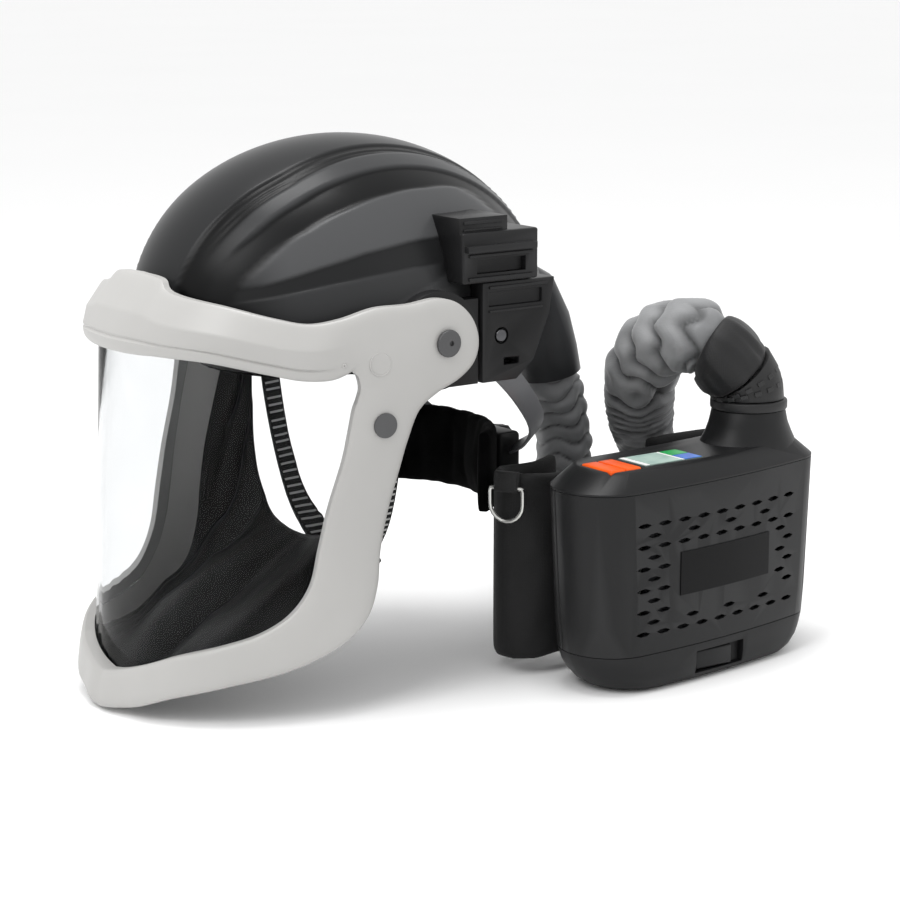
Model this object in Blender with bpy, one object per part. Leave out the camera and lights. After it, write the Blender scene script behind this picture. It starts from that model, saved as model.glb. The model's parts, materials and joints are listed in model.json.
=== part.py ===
"""Powered air respirator: a helmet with a hinged visor, a belt-worn blower and the hose between them.

Metres, +Z up. The origin is on the floor, under the middle of the blower. The blower's front faces
-Y. The helmet stands beside it and faces -X, so the wearer's left side faces -Y.
"""
import math

import bmesh
import bpy
from mathutils import Matrix, Vector

# ---- driving dimensions (metres) -------------------------------------------------------------
GAP = 0.0004                 # between pieces that touch
RUN = 0.0006                 # round pieces that move

# helmet, from its own datum on the floor under the visor pivots
HELMET_X, HELMET_Y = -0.1715, 0.142
PIVOT_Z = 0.230
SHELL_FRONT, SHELL_REAR, SHELL_HALF_WIDTH = 0.147, 0.146, 0.100
SHELL_BASE = PIVOT_Z + 0.005
SHELL_HEIGHT = 0.115
SHELL_LEAN = 0.006           # how far forward the crown sits
SHELL_RIM_DROP = 0.013
SHELL_WALL = 0.003
HEAD_HALF_LENGTH, HEAD_HALF_WIDTH = 0.104, 0.080
HEADBAND_Z, HEADBAND_HEIGHT, HEADBAND_WALL = 0.222, 0.030, 0.0022

# visor: a wall whose plan is a superellipse round the shell
VISOR_FRONT_ROOM, VISOR_SIDE_ROOM = 0.017, 0.015
VISOR_A = SHELL_FRONT + SHELL_LEAN + VISOR_FRONT_ROOM
VISOR_B = SHELL_HALF_WIDTH + VISOR_SIDE_ROOM
VISOR_POWER = 2.4
VISOR_WALL, VISOR_CROWN = 0.006, 0.0016
BROW_LEAN_FROM, BROW_LEAN = PIVOT_Z + 0.005, 2.8
CHIN_LEAN_FROM, CHIN_LEAN = PIVOT_Z - 0.030, 0.32
PIVOT_BOLT_R, PIVOT_HEAD_R, PIVOT_HEAD_T = 0.0050, 0.0086, 0.0026
LENS_T, LENS_GAP = 0.0015, 0.0008
BUTTON_PLUG_R = 0.0078
SEAL_T = 0.0030

# rear duct: x and z of its middle line, then its depth and half width
DUCT_LINE = ((0.126, 0.256, 0.0100, 0.034), (0.149, 0.240, 0.0150, 0.031),
             (0.161, 0.216, 0.0190, 0.027), (0.1675, 0.194, 0.0215, 0.0240),
             (0.1715, 0.1765, 0.0222, 0.0225))

# blower: its plan bends round the waist
BLOWER_LENGTH, BLOWER_DEPTH = 0.209, 0.066
BLOWER_Y = -0.0053            # middle of the blower's depth, before the bend
RIGHT_REACH = 0.0055         # how much further the right end reaches than the left
BEND, BEND_FROM = 0.75, -0.0615
SEAM_Z, SHOULDER_Z, CONSOLE_Z = 0.026, 0.132, 0.144
LEFT_CORNER, RIGHT_CORNER = 0.032, 0.020
WALL = 0.0024
SPLIT_Y = 0.002              # where the front cover meets the rear housing
NECK_X, NECK_Y = 0.066, 0.010
NECK_TOP, NECK_R, NECK_BORE = 0.165, 0.0246, 0.0190
BUTTON_TRAVEL = 0.0012
FAN_X, FAN_Z, FAN_R = 0.012, 0.078, 0.036
MOTOR_R, SHAFT_R = 0.014, 0.0020

# the filter cover's slots, and the plain field they leave free
LOUVRE_COLUMNS, LOUVRE_ROWS = 9, 6
LOUVRE_PITCH_X, LOUVRE_PITCH_Z = 0.0170, 0.0142
LOUVRE_X0, LOUVRE_Z0 = -0.0640, 0.0400
LABEL_X0, LABEL_X1, LABEL_Z0, LABEL_Z1 = -0.034, 0.052, 0.0600, 0.0905
LOUVRE_HALF_X, LOUVRE_HALF_Z = 0.0058, 0.0016

# control panel, in the console's top: two buttons and the window of the display
BUTTONS = (("power_button", (-0.0780, -0.0210), (-0.0655, 0.0090)),
           ("speed_button", (-0.0650, -0.0210), (-0.0525, 0.0090)))
WINDOW = (-0.0470, 0.0020, -0.0180, 0.0100)
BUTTON_T = 0.0052

# filters and the elbow on the neck
FILTER_X0, FILTER_X1, FILTER_Z0, FILTER_Z1 = -0.058, 0.062, 0.036, 0.118
PLEATS, PLEAT_DEPTH, PAPER_T = 18, 0.011, 0.0028
BLADES = 14
ELBOW_AXIS = Vector((-0.64, 0.24, 0.73)).normalized()
ELBOW_END = Vector((0.0608, 0.0118, 0.1895))

# belt
BELT_LEFT, BELT_RIGHT = -0.0885, 0.092      # where the two folds begin
PAD_BOTTOM, PAD_TOP, PAD_T = 0.008, 0.139, 0.009
BELT_FRONT = 0.0415                         # front run's middle line at the bend's apex
BELT_DEEP_LEFT, BELT_DEEP_RIGHT = 0.0795, 0.0875    # back run's outer face at its two ends
BACK_LEFT, BACK_RIGHT = BELT_DEEP_LEFT - PAD_T / 2, BELT_DEEP_RIGHT - PAD_T / 2
WEB_Z, WEB_WIDTH, WEB_T = 0.078, 0.048, 0.0026
BUCKLE_X0, BUCKLE_X1 = -0.0290, 0.0180
RING_WIRE, RING_WIDTH, RING_DEPTH = 0.0014, 0.0256, 0.0248
RING_Z, RING_TURN = 0.1262, math.radians(30)    # bar's height, and how far the ring faces forward
LOOP_T, LOOP_HALF_WIDTH = 0.0052, 0.0080

# hose
HOSE_R = 0.0195
HOSE_ROUTE = (
    (0.0002, 0.1420, 0.1757), (0.0020, 0.1420, 0.1680), (0.0068, 0.1420, 0.1570),
    (0.0115, 0.1420, 0.1400), (0.0136, 0.1420, 0.1190), (0.0140, 0.1430, 0.0950),
    (0.0150, 0.1480, 0.0680), (0.0205, 0.1630, 0.0430), (0.0330, 0.1880, 0.0265),
    (0.0500, 0.2150, 0.0205), (0.0730, 0.2400, 0.0200), (0.1030, 0.2540, 0.0200),
    (0.1340, 0.2490, 0.0200), (0.1570, 0.2290, 0.0210), (0.1650, 0.2020, 0.0270),
    (0.1590, 0.1770, 0.0410), (0.1420, 0.1570, 0.0600), (0.1190, 0.1430, 0.0800),
    (0.0960, 0.1330, 0.0990), (0.0760, 0.1240, 0.1175), (0.0620, 0.1150, 0.1380),
    (0.0535, 0.1080, 0.1580), (0.0460, 0.0970, 0.1780), (0.0395, 0.0810, 0.1965),
    (0.0370, 0.0570, 0.2090), (0.0400, 0.0330, 0.2125), (0.0470, 0.0190, 0.2065),
    (0.0552, 0.0139, 0.1959), (0.0601, 0.0121, 0.1904),
)

COLLECTION = "powered_air_respirator"
BLACK, CHARCOAL, GREY = (0.012, 0.012, 0.013), (0.035, 0.036, 0.038), (0.12, 0.12, 0.125)
WHITE, STEEL, ORANGE = (0.74, 0.73, 0.71), (0.62, 0.62, 0.63), (0.85, 0.12, 0.01)
SIDES = (("left", -1), ("right", 1))

for old in list(bpy.data.objects):
    bpy.data.objects.remove(old, do_unlink=True)
parts = bpy.data.collections.new(COLLECTION)
cutters = bpy.data.collections.new("cutters")
bpy.context.scene.collection.children.link(parts)
bpy.context.scene.collection.children.link(cutters)


def empty(name, at, parent=None):
    """An empty that carries pieces: a datum or a joint's axis."""
    thing = bpy.data.objects.new(name, None)
    thing.location = at
    thing.parent = parent
    parts.objects.link(thing)
    return thing


helmet = empty("helmet_datum", (HELMET_X, HELMET_Y, 0.0))
visor_axis = empty("visor_axis", (0.0, 0.0, PIVOT_Z), helmet)


# ---- making and placing pieces ---------------------------------------------------------------
def paint(name, colour, roughness, metallic, alpha):
    """One Principled material for each piece."""
    material = bpy.data.materials.new(name)
    material.use_nodes = True
    shader = material.node_tree.nodes["Principled BSDF"]
    shader.inputs["Base Color"].default_value = (*colour, 1.0)
    shader.inputs["Roughness"].default_value = roughness
    shader.inputs["Metallic"].default_value = metallic
    shader.inputs["Alpha"].default_value = alpha
    return material


def place(name, bm, collection, parent, about):
    """Makes an object from a closed mesh, with its origin at the point about."""
    bmesh.ops.recalc_face_normals(bm, faces=bm.faces)
    bmesh.ops.translate(bm, vec=-Vector(about), verts=bm.verts)
    mesh = bpy.data.meshes.new(name)
    bm.to_mesh(mesh)
    bm.free()
    thing = bpy.data.objects.new(name, mesh)
    thing.parent = parent
    on_axis = parent is visor_axis
    thing.location = (0.0, 0.0, 0.0) if on_axis else about
    collection.objects.link(thing)
    return thing


def add(name, bm, colour=BLACK, roughness=0.5, metallic=0.0, alpha=1.0, parent=None,
        about=(0.0, 0.0, 0.0)):
    """Adds one piece of the object."""
    if parent is visor_axis:
        about = (0.0, 0.0, PIVOT_Z)
    thing = place(name, bm, parts, parent, about)
    thing.data.shade_smooth()
    thing.data.set_sharp_from_angle(angle=math.radians(35))
    thing.data.materials.append(paint(name, colour, roughness, metallic, alpha))
    return thing


def tool(name, bm, parent=None):
    """Adds a closed mesh that only cuts or joins."""
    about = (0.0, 0.0, PIVOT_Z) if parent is visor_axis else (0.0, 0.0, 0.0)
    thing = place(name, bm, cutters, parent, about)
    thing.hide_render = True
    thing.display_type = "WIRE"
    return thing


def combine(thing, operation, name, bm, parent=None):
    """Cuts or joins a piece with a closed mesh, by a Boolean modifier."""
    modifier = thing.modifiers.new(name, "BOOLEAN")
    modifier.operation = operation
    modifier.solver = "EXACT"
    modifier.object = tool(f"{thing.name}_{name}", bm, parent)


def cut(thing, name, bm, parent=None):
    combine(thing, "DIFFERENCE", name, bm, parent)


def join(thing, name, bm, parent=None):
    combine(thing, "UNION", name, bm, parent)


# ---- shapes ----------------------------------------------------------------------------------
def box(low, high, bevel=0.0):
    """A box from its lowest to its highest corner, with its edges rounded."""
    low, high = Vector(low), Vector(high)
    bm = bmesh.new()
    bmesh.ops.create_cube(bm, size=1.0)
    bmesh.ops.scale(bm, vec=high - low, verts=bm.verts)
    bmesh.ops.translate(bm, vec=(low + high) / 2, verts=bm.verts)
    if bevel:
        bmesh.ops.bevel(bm, geom=list(bm.edges), offset=bevel, segments=2, affect="EDGES",
                        profile=0.5)
    return bm


def disc(radius, length, centre, axis=(0, 0, 1), segments=24, top_radius=None):
    """A cylinder or cone about any axis."""
    bm = bmesh.new()
    turn = Vector((0, 0, 1)).rotation_difference(Vector(axis)).to_matrix().to_4x4()
    bmesh.ops.create_cone(bm, cap_ends=True, segments=segments, radius1=radius, depth=length,
                          radius2=radius if top_radius is None else top_radius,
                          matrix=Matrix.Translation(centre) @ turn)
    return bm


def loft(rings, loop=False):
    """Joins rings of equal count into one closed body, capped at its ends unless it is a loop."""
    bm = bmesh.new()
    rows = [[bm.verts.new(point) for point in ring] for ring in rings]
    count = len(rows[0])
    pairs = list(zip(rows, rows[1:]))
    if loop:
        pairs.append((rows[-1], rows[0]))
    for near, far in pairs:
        for i in range(count):
            j = (i + 1) % count
            bm.faces.new((near[i], near[j], far[j], far[i]))
    if not loop:
        bm.faces.new(rows[0])
        bm.faces.new(rows[-1])
    return bm


def turned(profile, centre, segments=32):
    """A body of revolution about Z: profile is a closed list of (radius, height)."""
    cx, cy, cz = centre
    rings = []
    for i in range(segments):
        angle = 2 * math.pi * i / segments
        c, s = math.cos(angle), math.sin(angle)
        rings.append([(cx + r * c, cy + r * s, cz + h) for r, h in profile])
    return loft(rings, loop=True)


def ribbon(path, across, width, thickness, loop=False):
    """A flat strap: a rectangle swept along a path, as wide as width along the vector across."""
    path = [Vector(p) for p in path]
    count = len(path)
    rings = []
    for i, point in enumerate(path):
        before = path[i - 1] if (loop or i) else path[i]
        after = path[(i + 1) % count] if (loop or i < count - 1) else path[i]
        along = (after - before).normalized()
        wide = Vector(across(i / max(1, count - 1)) if callable(across) else across)
        wide = (wide - along * wide.dot(along)).normalized()
        thick = along.cross(wide) * thickness / 2
        reach = width(i / max(1, count - 1)) if callable(width) else width
        wide = wide * reach / 2
        rings.append([point + wide + thick, point - wide + thick, point - wide - thick,
                      point + wide - thick])
    return loft(rings, loop)


def smooth_path(points, steps):
    """Points along the Catmull-Rom curve through the given ones."""
    pts = [Vector(p) for p in points]
    pts = [2 * pts[0] - pts[1]] + pts + [2 * pts[-1] - pts[-2]]
    path = []
    for a, b, c, d in zip(pts, pts[1:], pts[2:], pts[3:]):
        for k in range(steps):
            t = k / steps
            path.append(0.5 * (2 * b + (c - a) * t + (2 * a - 5 * b + 4 * c - d) * t * t
                               + (3 * b - a - 3 * c + d) * t ** 3))
    path.append(pts[-2])
    return path


def smooth_rows(rows, steps):
    """Rows of numbers along the Catmull-Rom curve through the given rows."""
    first = [2 * a - b for a, b in zip(rows[0], rows[1])]
    last = [2 * a - b for a, b in zip(rows[-1], rows[-2])]
    every = [first] + [list(row) for row in rows] + [last]
    out = []
    for a, b, c, d in zip(every, every[1:], every[2:], every[3:]):
        for k in range(steps):
            t = k / steps
            out.append([0.5 * (2 * q + (r - p) * t + (2 * p - 5 * q + 4 * r - v) * t * t
                               + (3 * q - p - 3 * r + v) * t ** 3)
                        for p, q, r, v in zip(a, b, c, d)])
    out.append(list(rows[-1]))
    return out


def rounded(x0, x1, y0, y1, z, left, right, steps=5, along=6):
    """A plan ring with the given corner radii at its left and right ends, bent round the waist."""
    plan = []
    corners = ((x1 - right, y1 - right, right, 0), (x0 + left, y1 - left, left, 1),
               (x0 + left, y0 + left, left, 2), (x1 - right, y0 + right, right, 3))
    for cx, cy, radius, quarter in corners:
        if quarter in (1, 3):
            start, y = plan[-1]
            plan += [(start + (cx - start) * k / along, y) for k in range(1, along)]
        for k in range(steps + 1):
            angle = math.pi / 2 * (quarter + k / steps)
            plan.append((cx + radius * math.cos(angle), cy + radius * math.sin(angle)))
    return [(x, y + bend(x), z) for x, y in plan]


def bend(x):
    """How far the blower's plan has bent back at x."""
    return BEND * (x - BEND_FROM) ** 2


def bent_plate(x0, x1, y0, y1, z0, z1, steps=6):
    """A plate that follows the blower's bend."""
    rings = []
    for k in range(steps + 1):
        x = x0 + (x1 - x0) * k / steps
        rings.append([(x, y0 + bend(x), z0), (x, y1 + bend(x), z0), (x, y1 + bend(x), z1),
                      (x, y0 + bend(x), z1)])
    return loft(rings)


# ---- helmet shell and what hangs in it -------------------------------------------------------
def dome(grow, drop, turns=40, rows=9):
    """The shell's outer form grown by a distance, closed underneath, its wall dropped below it."""
    front, rear = SHELL_FRONT + grow, SHELL_REAR + grow
    half, height = SHELL_HALF_WIDTH + grow, SHELL_HEIGHT + grow
    rings = []
    for level in range(-1, rows + 1):
        lift = max(0.0, math.sin(math.pi / 2 * level / (rows + 0.35)))
        spread = math.sqrt(max(0.0, 1 - lift * lift))
        z = SHELL_BASE + height * lift if level >= 0 else SHELL_BASE - drop
        ring = []
        for k in range(turns):
            angle = 2 * math.pi * k / turns
            reach = front if math.cos(angle) < 0 else rear
            ring.append((reach * spread * math.cos(angle) - SHELL_LEAN * lift,
                         half * spread * math.sin(angle), z))
        rings.append(ring)
    return loft(rings)


def make_shell():
    shell = add("helmet_shell", dome(0.0, SHELL_RIM_DROP), BLACK, 0.45, parent=helmet)
    cut(shell, "inside", dome(-SHELL_WALL, SHELL_RIM_DROP + 0.01), helmet)
    cut(shell, "air_inlet", box((0.110, -0.022, 0.236), (0.170, 0.022, 0.262)), helmet)


def clear_of_shell(thing):
    """Trims a piece that lies against the outside of the shell."""
    cut(thing, "shell_clearance", dome(GAP, 0.05), helmet)


def oval(half_x, half_y, z, count=36, shift=0.0):
    return [(shift + half_x * math.cos(2 * math.pi * k / count),
             half_y * math.sin(2 * math.pi * k / count), z) for k in range(count)]


def make_suspension():
    """Headband, brow pad, two crown straps, air channel, nape band with its ratchet."""
    half_x, half_y = HEAD_HALF_LENGTH, HEAD_HALF_WIDTH
    add("headband", ribbon(oval(half_x, half_y, HEADBAND_Z), (0, 0, 1), HEADBAND_HEIGHT,
                           HEADBAND_WALL, loop=True), CHARCOAL, 0.5, parent=helmet)
    inside = HEADBAND_WALL / 2 + GAP + 0.002
    pad = [p for p in oval(half_x - inside, half_y - inside, HEADBAND_Z, 48) if p[0] < -0.042]
    pad.sort(key=lambda p: p[1])
    add("brow_pad", ribbon(pad, (0, 0, 1), 0.036, 0.0036), BLACK, 0.9, parent=helmet)

    base = HEADBAND_Z + HEADBAND_HEIGHT / 2 + GAP
    rise = SHELL_BASE + SHELL_HEIGHT - 0.030 - base

    def arch(across, reach, lower):
        """A strap over the head, standing on the headband's upper edge."""
        points = []
        for k in range(17):
            angle = math.pi * k / 16
            along = -reach * math.cos(angle)
            up = base + (rise - lower) * math.sin(angle) ** 0.8
            points.append((along, 0, up) if across == "y" else (0, along, up))
        return points

    add("crown_strap_long", ribbon(arch("y", half_x, 0.0), (0, 1, 0), 0.022, 0.002), BLACK, 0.8,
        parent=helmet)
    add("crown_strap_cross", ribbon(arch("x", half_y, 0.004), (1, 0, 0), 0.022, 0.002), BLACK,
        0.8, parent=helmet)

    channel = []
    for k in range(11):
        angle = math.radians(20 + 128 * k / 10)
        reach = (SHELL_REAR if angle < math.pi / 2 else SHELL_FRONT) - 0.0145
        channel.append((reach * math.cos(angle) - SHELL_LEAN * math.sin(angle), 0.0,
                        SHELL_BASE + (SHELL_HEIGHT - 0.0145) * math.sin(angle)))
    rings_out = ribbon_rings(channel, (0, 1, 0), 0.044, 0.013)
    rings_in = ribbon_rings(channel, (0, 1, 0), 0.044 - 2 * 0.0014, 0.013 - 2 * 0.0014)
    add("air_channel", loft(rings_out + rings_in[::-1], loop=True), GREY, 0.5, parent=helmet)

    for side, s in SIDES:
        route = [(0.056, s * 0.0914, 0.2085), (0.076, s * 0.0908, 0.1880),
                 (0.098, s * 0.0800, 0.1640), (0.108, s * 0.0600, 0.1475),
                 (0.1165, s * 0.0330, 0.1360)]
        add(f"nape_strap_{side}", ribbon(smooth_path(route, 4), (0.75, 0, 0.66),
                                         lambda t: 0.017 - 0.005 * t, 0.0022), GREY, 0.5,
            parent=helmet)
    pad_path = [(0.100 - 0.062 * (1 - math.cos(math.radians(a))),
                 0.072 * math.sin(math.radians(a)), 0.131) for a in range(-66, 67, 12)]
    add("nape_pad", ribbon(pad_path, (0, 0, 1), 0.058, 0.009), BLACK, 0.95, parent=helmet)
    housing = add("ratchet_housing", box((0.1055, -0.031, 0.118), (0.1235, 0.031, 0.146), 0.003),
                  CHARCOAL, 0.5, parent=helmet)
    cut(housing, "knob_seat", disc(0.0036, 0.012, (0.1215, 0, 0.132), (1, 0, 0), 16), helmet)
    knob = (HELMET_X + 0.124, HELMET_Y, 0.132)
    grip = ((0.003, -0.006), (0.003, GAP), (0.0125, GAP), (0.0135, 0.002), (0.0125, 0.010))
    rings = []
    for r, h in grip:
        rings.append([(h, r * lobe(k) * math.cos(2 * math.pi * k / 24),
                       r * lobe(k) * math.sin(2 * math.pi * k / 24)) for k in range(24)])
    bm = loft(rings)
    bmesh.ops.translate(bm, vec=knob, verts=bm.verts)
    add("ratchet_knob", bm, CHARCOAL, 0.55, about=knob)


def lobe(k):
    """The fluting round a knob's rim."""
    return 1.0 if k % 2 else 0.94


def ribbon_rings(path, across, width, thickness):
    """The rectangles that ribbon sweeps, for hollow straps and ducts."""
    path = [Vector(p) for p in path]
    rings = []
    for i, point in enumerate(path):
        along = (path[min(i + 1, len(path) - 1)] - path[max(i - 1, 0)]).normalized()
        wide = Vector(across)
        thick = along.cross(wide).normalized() * thickness / 2
        wide = wide * width / 2
        rings.append([point + wide + thick, point - wide + thick, point - wide - thick,
                      point + wide - thick])
    return rings


def make_chin_strap():
    """Two elastic straps from the headband and the cup that joins them."""
    for side, s in SIDES:
        route = [(-0.013, s * 0.0775, HEADBAND_Z - HEADBAND_HEIGHT / 2 - 0.0006),
                 (-0.012, s * 0.0760, 0.180), (-0.010, s * 0.0680, 0.140),
                 (-0.008, s * 0.0540, 0.104), (-0.006, s * 0.0330, 0.0765)]
        add(f"chin_strap_{side}", ribbon(smooth_path(route, 4), (1, 0, 0), 0.013, 0.0022), BLACK,
            0.8, parent=helmet)
    cup = [(-0.006, -0.030, 0.0735), (-0.006, -0.020, 0.0660), (-0.006, 0.0, 0.0625),
           (-0.006, 0.020, 0.0660), (-0.006, 0.030, 0.0735)]
    add("chin_cup", ribbon(smooth_path(cup, 3), (1, 0, 0), 0.030, 0.003), BLACK, 0.7,
        parent=helmet)


def make_side_fittings():
    """On each side: pivot plate and bolt, accessory bracket, anchor plate and its screw."""
    inner, outer = SHELL_HALF_WIDTH + GAP, VISOR_B - VISOR_WALL - 0.0016
    for side, s in SIDES:
        def slab(low, high, bevel=0.0):
            ys = sorted((s * low[1], s * high[1]))
            return box((low[0], ys[0], low[2]), (high[0], ys[1], high[2]), bevel)

        along = (0, s, 0)
        plate = add(f"pivot_plate_{side}",
                    disc(0.031, outer - 0.094, (0, s * (outer + 0.094) / 2, PIVOT_Z), along, 40),
                    CHARCOAL, 0.5, parent=helmet)
        join(plate, "tail", slab((0.0, 0.095, PIVOT_Z - 0.030), (0.0305, outer - 0.0004,
                                                                   PIVOT_Z + 0.024)), helmet)
        cut(plate, "bolt_hole", disc(PIVOT_BOLT_R + GAP, 0.03, (0, s * 0.105, PIVOT_Z), along, 24),
            helmet)
        clear_of_shell(plate)

        head_y = VISOR_B + VISOR_CROWN + RUN
        bolt = [(PIVOT_BOLT_R, inner), (PIVOT_BOLT_R, head_y), (PIVOT_HEAD_R, head_y),
                (PIVOT_HEAD_R, head_y + PIVOT_HEAD_T - 0.0006),
                (PIVOT_HEAD_R - 0.0008, head_y + PIVOT_HEAD_T)]
        rings = [[(r * math.cos(a), s * y, PIVOT_Z + r * math.sin(a)) for a in
                  (2 * math.pi * k / 28 for k in range(28))] for r, y in bolt]
        bolt_piece = add(f"pivot_bolt_{side}", loft(rings), GREY, 0.45, parent=helmet)
        cut(bolt_piece, "driver_hole",
            disc(0.0016, 0.004, (0.0012, s * (head_y + PIVOT_HEAD_T), PIVOT_Z), along, 12), helmet)

        bracket = add(f"accessory_bracket_{side}",
                      slab((0.015, 0.062, 0.2640), (0.074, 0.1120, 0.2960), 0.0015), CHARCOAL,
                      0.5, parent=helmet)
        join(bracket, "upper_block", slab((0.0150, 0.062, 0.2900), (0.0520, 0.1085, 0.3050)),
             helmet)
        join(bracket, "ledge", slab((0.0165, 0.070, 0.2840), (0.0700, 0.1165, 0.2880)), helmet)
        cut(bracket, "slot", slab((0.026, 0.1070, 0.2700), (0.0640, 0.1200, 0.2790)), helmet)
        clear_of_shell(bracket)

        outline = [(0.0330, 0.2000), (0.0600, 0.2000), (0.0740, 0.2120), (0.0860, 0.2400),
                   (0.0900, 0.2632), (0.0330, 0.2632)]
        rings = [[(x, s * y, z) for x, z in outline] for y in (0.0930, 0.1085)]
        anchor = add(f"anchor_plate_{side}", loft(rings), CHARCOAL, 0.5, parent=helmet)
        cut(anchor, "bar_slot", slab((0.0380, 0.1055, 0.2480), (0.0800, 0.1200, 0.2570)), helmet)
        cut(anchor, "strap_slot", slab((0.0500, 0.0900, 0.2100), (0.0620, 0.1200, 0.2145)),
            helmet)
        cut(anchor, "screw_seat", disc(0.0052, 0.004, (0.0480, s * 0.1085, 0.2290), along, 20),
            helmet)
        clear_of_shell(anchor)
        add(f"anchor_screw_{side}",
            disc(0.0047, 0.0018, (0.0480, s * 0.1078, 0.2290), along, 20, top_radius=0.0036),
            STEEL, 0.35, 0.9, parent=helmet)


def duct_rings(shrink):
    rings = []
    for i, (x, z, deep, wide) in enumerate(DUCT_LINE):
        ahead = DUCT_LINE[min(i + 1, len(DUCT_LINE) - 1)]
        behind = DUCT_LINE[max(i - 1, 0)]
        along = Vector((ahead[0] - behind[0], 0, ahead[1] - behind[1])).normalized()
        out = Vector((-along.z, 0, along.x))
        ring = []
        for k in range(24):
            angle = 2 * math.pi * k / 24
            ring.append(Vector((x, 0, z)) + out * (deep - shrink) * math.cos(angle)
                        + Vector((0, 1, 0)) * (wide - shrink) * math.sin(angle))
        rings.append(ring)
    return rings


def make_rear_duct():
    """The horn that carries air from the hose into the back of the shell."""
    duct = add("rear_duct", loft(duct_rings(0.0) + duct_rings(0.002)[::-1], loop=True), CHARCOAL,
               0.5, parent=helmet)
    clear_of_shell(duct)


# ---- visor -----------------------------------------------------------------------------------
def plan_table(count=720):
    """Points of the visor's plan from the front round to the rear, with the arc length at each."""
    table = []
    length = 0.0
    for k in range(count + 1):
        angle = math.pi * k / count
        c, s = math.cos(angle), math.sin(angle)
        power = 2 / VISOR_POWER
        x = -VISOR_A * math.copysign(abs(c) ** power, c)
        y = VISOR_B * abs(s) ** power
        if table:
            length += math.hypot(x - table[-1][0], y - table[-1][1])
        table.append((x, y, length))
    return table


PLAN = plan_table()
QUARTER = PLAN[len(PLAN) // 2][2]


def on_visor(share, z, out, s=-1):
    """A point of the visor's wall: share 0 is the front middle and 1 the pivot, out is outward."""
    target = abs(share) * QUARTER
    i = next(k for k in range(1, len(PLAN)) if PLAN[k][2] >= target)
    (x0, y0, l0), (x1, y1, l1) = PLAN[i - 1], PLAN[i]
    t = (target - l0) / (l1 - l0)
    x, y = x0 + (x1 - x0) * t, y0 + (y1 - y0) * t
    tangent = Vector((x1 - x0, y1 - y0)).normalized()
    x, y = x - tangent.y * out, y + tangent.x * out
    if x < 0:
        x *= 1 - BROW_LEAN * max(0.0, z - BROW_LEAN_FROM)
        x *= 1 + CHIN_LEAN * max(0.0, CHIN_LEAN_FROM - z)
    side = s if share >= 0 else -s
    return Vector((x, side * y, z))


# The frame's two edges as matched points: share of the quarter arc and height at the outer edge,
# then the same at the window's edge, from the brow round the pivot to the chin.
FRAME_EDGES = (
    (0.000, 0.2735, 0.000, 0.2270), (0.110, 0.2720, 0.120, 0.2275), (0.165, 0.2650, 0.200, 0.2280),
    (0.343, 0.2590, 0.343, 0.2260), (0.489, 0.2520, 0.489, 0.2190), (0.587, 0.2480, 0.575, 0.2145),
    (0.673, 0.2500, 0.652, 0.2135), (0.772, 0.2555, 0.697, 0.2160), (0.880, 0.2560, 0.716, 0.2180),
    (0.973, 0.2580, 0.729, 0.2160), (1.040, 0.2540, 0.735, 0.2140), (1.092, 0.2430, 0.739, 0.2110),
    (1.113, 0.2290, 0.741, 0.2080), (1.098, 0.2160, 0.741, 0.2060), (1.048, 0.2065, 0.739, 0.2040),
    (0.978, 0.1995, 0.733, 0.2000), (0.918, 0.1900, 0.722, 0.1930), (0.883, 0.1730, 0.711, 0.1800),
    (0.857, 0.1550, 0.694, 0.1620), (0.823, 0.1300, 0.657, 0.1350), (0.801, 0.1050, 0.632, 0.1100),
    (0.793, 0.0820, 0.609, 0.0860), (0.763, 0.0620, 0.557, 0.0690), (0.686, 0.0460, 0.480, 0.0580),
    (0.557, 0.0340, 0.386, 0.0510), (0.407, 0.0260, 0.257, 0.0430), (0.257, 0.0170, 0.150, 0.0340),
    (0.129, 0.0070, 0.064, 0.0280), (0.000, 0.0015, 0.000, 0.0250),
)
FRAME_ROWS = (0.0, 0.12, 0.5, 0.88, 1.0)


def frame_edges():
    """The whole ring of matched edge points, with the right side mirrored from the left."""
    scale = PIVOT_Z / 0.230
    half = smooth_rows([(a, b * scale, c, d * scale) for a, b, c, d in FRAME_EDGES], 2)
    return half + [(-a, b, -c, d) for a, b, c, d in half[-2:0:-1]]


def chin_flare(share, z):
    """The lower lip stands further out in front of the chin."""
    return 0.0055 * max(0.0, 1 - abs(share) / 0.5) * max(0.0, 1 - z / 0.05)


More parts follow.
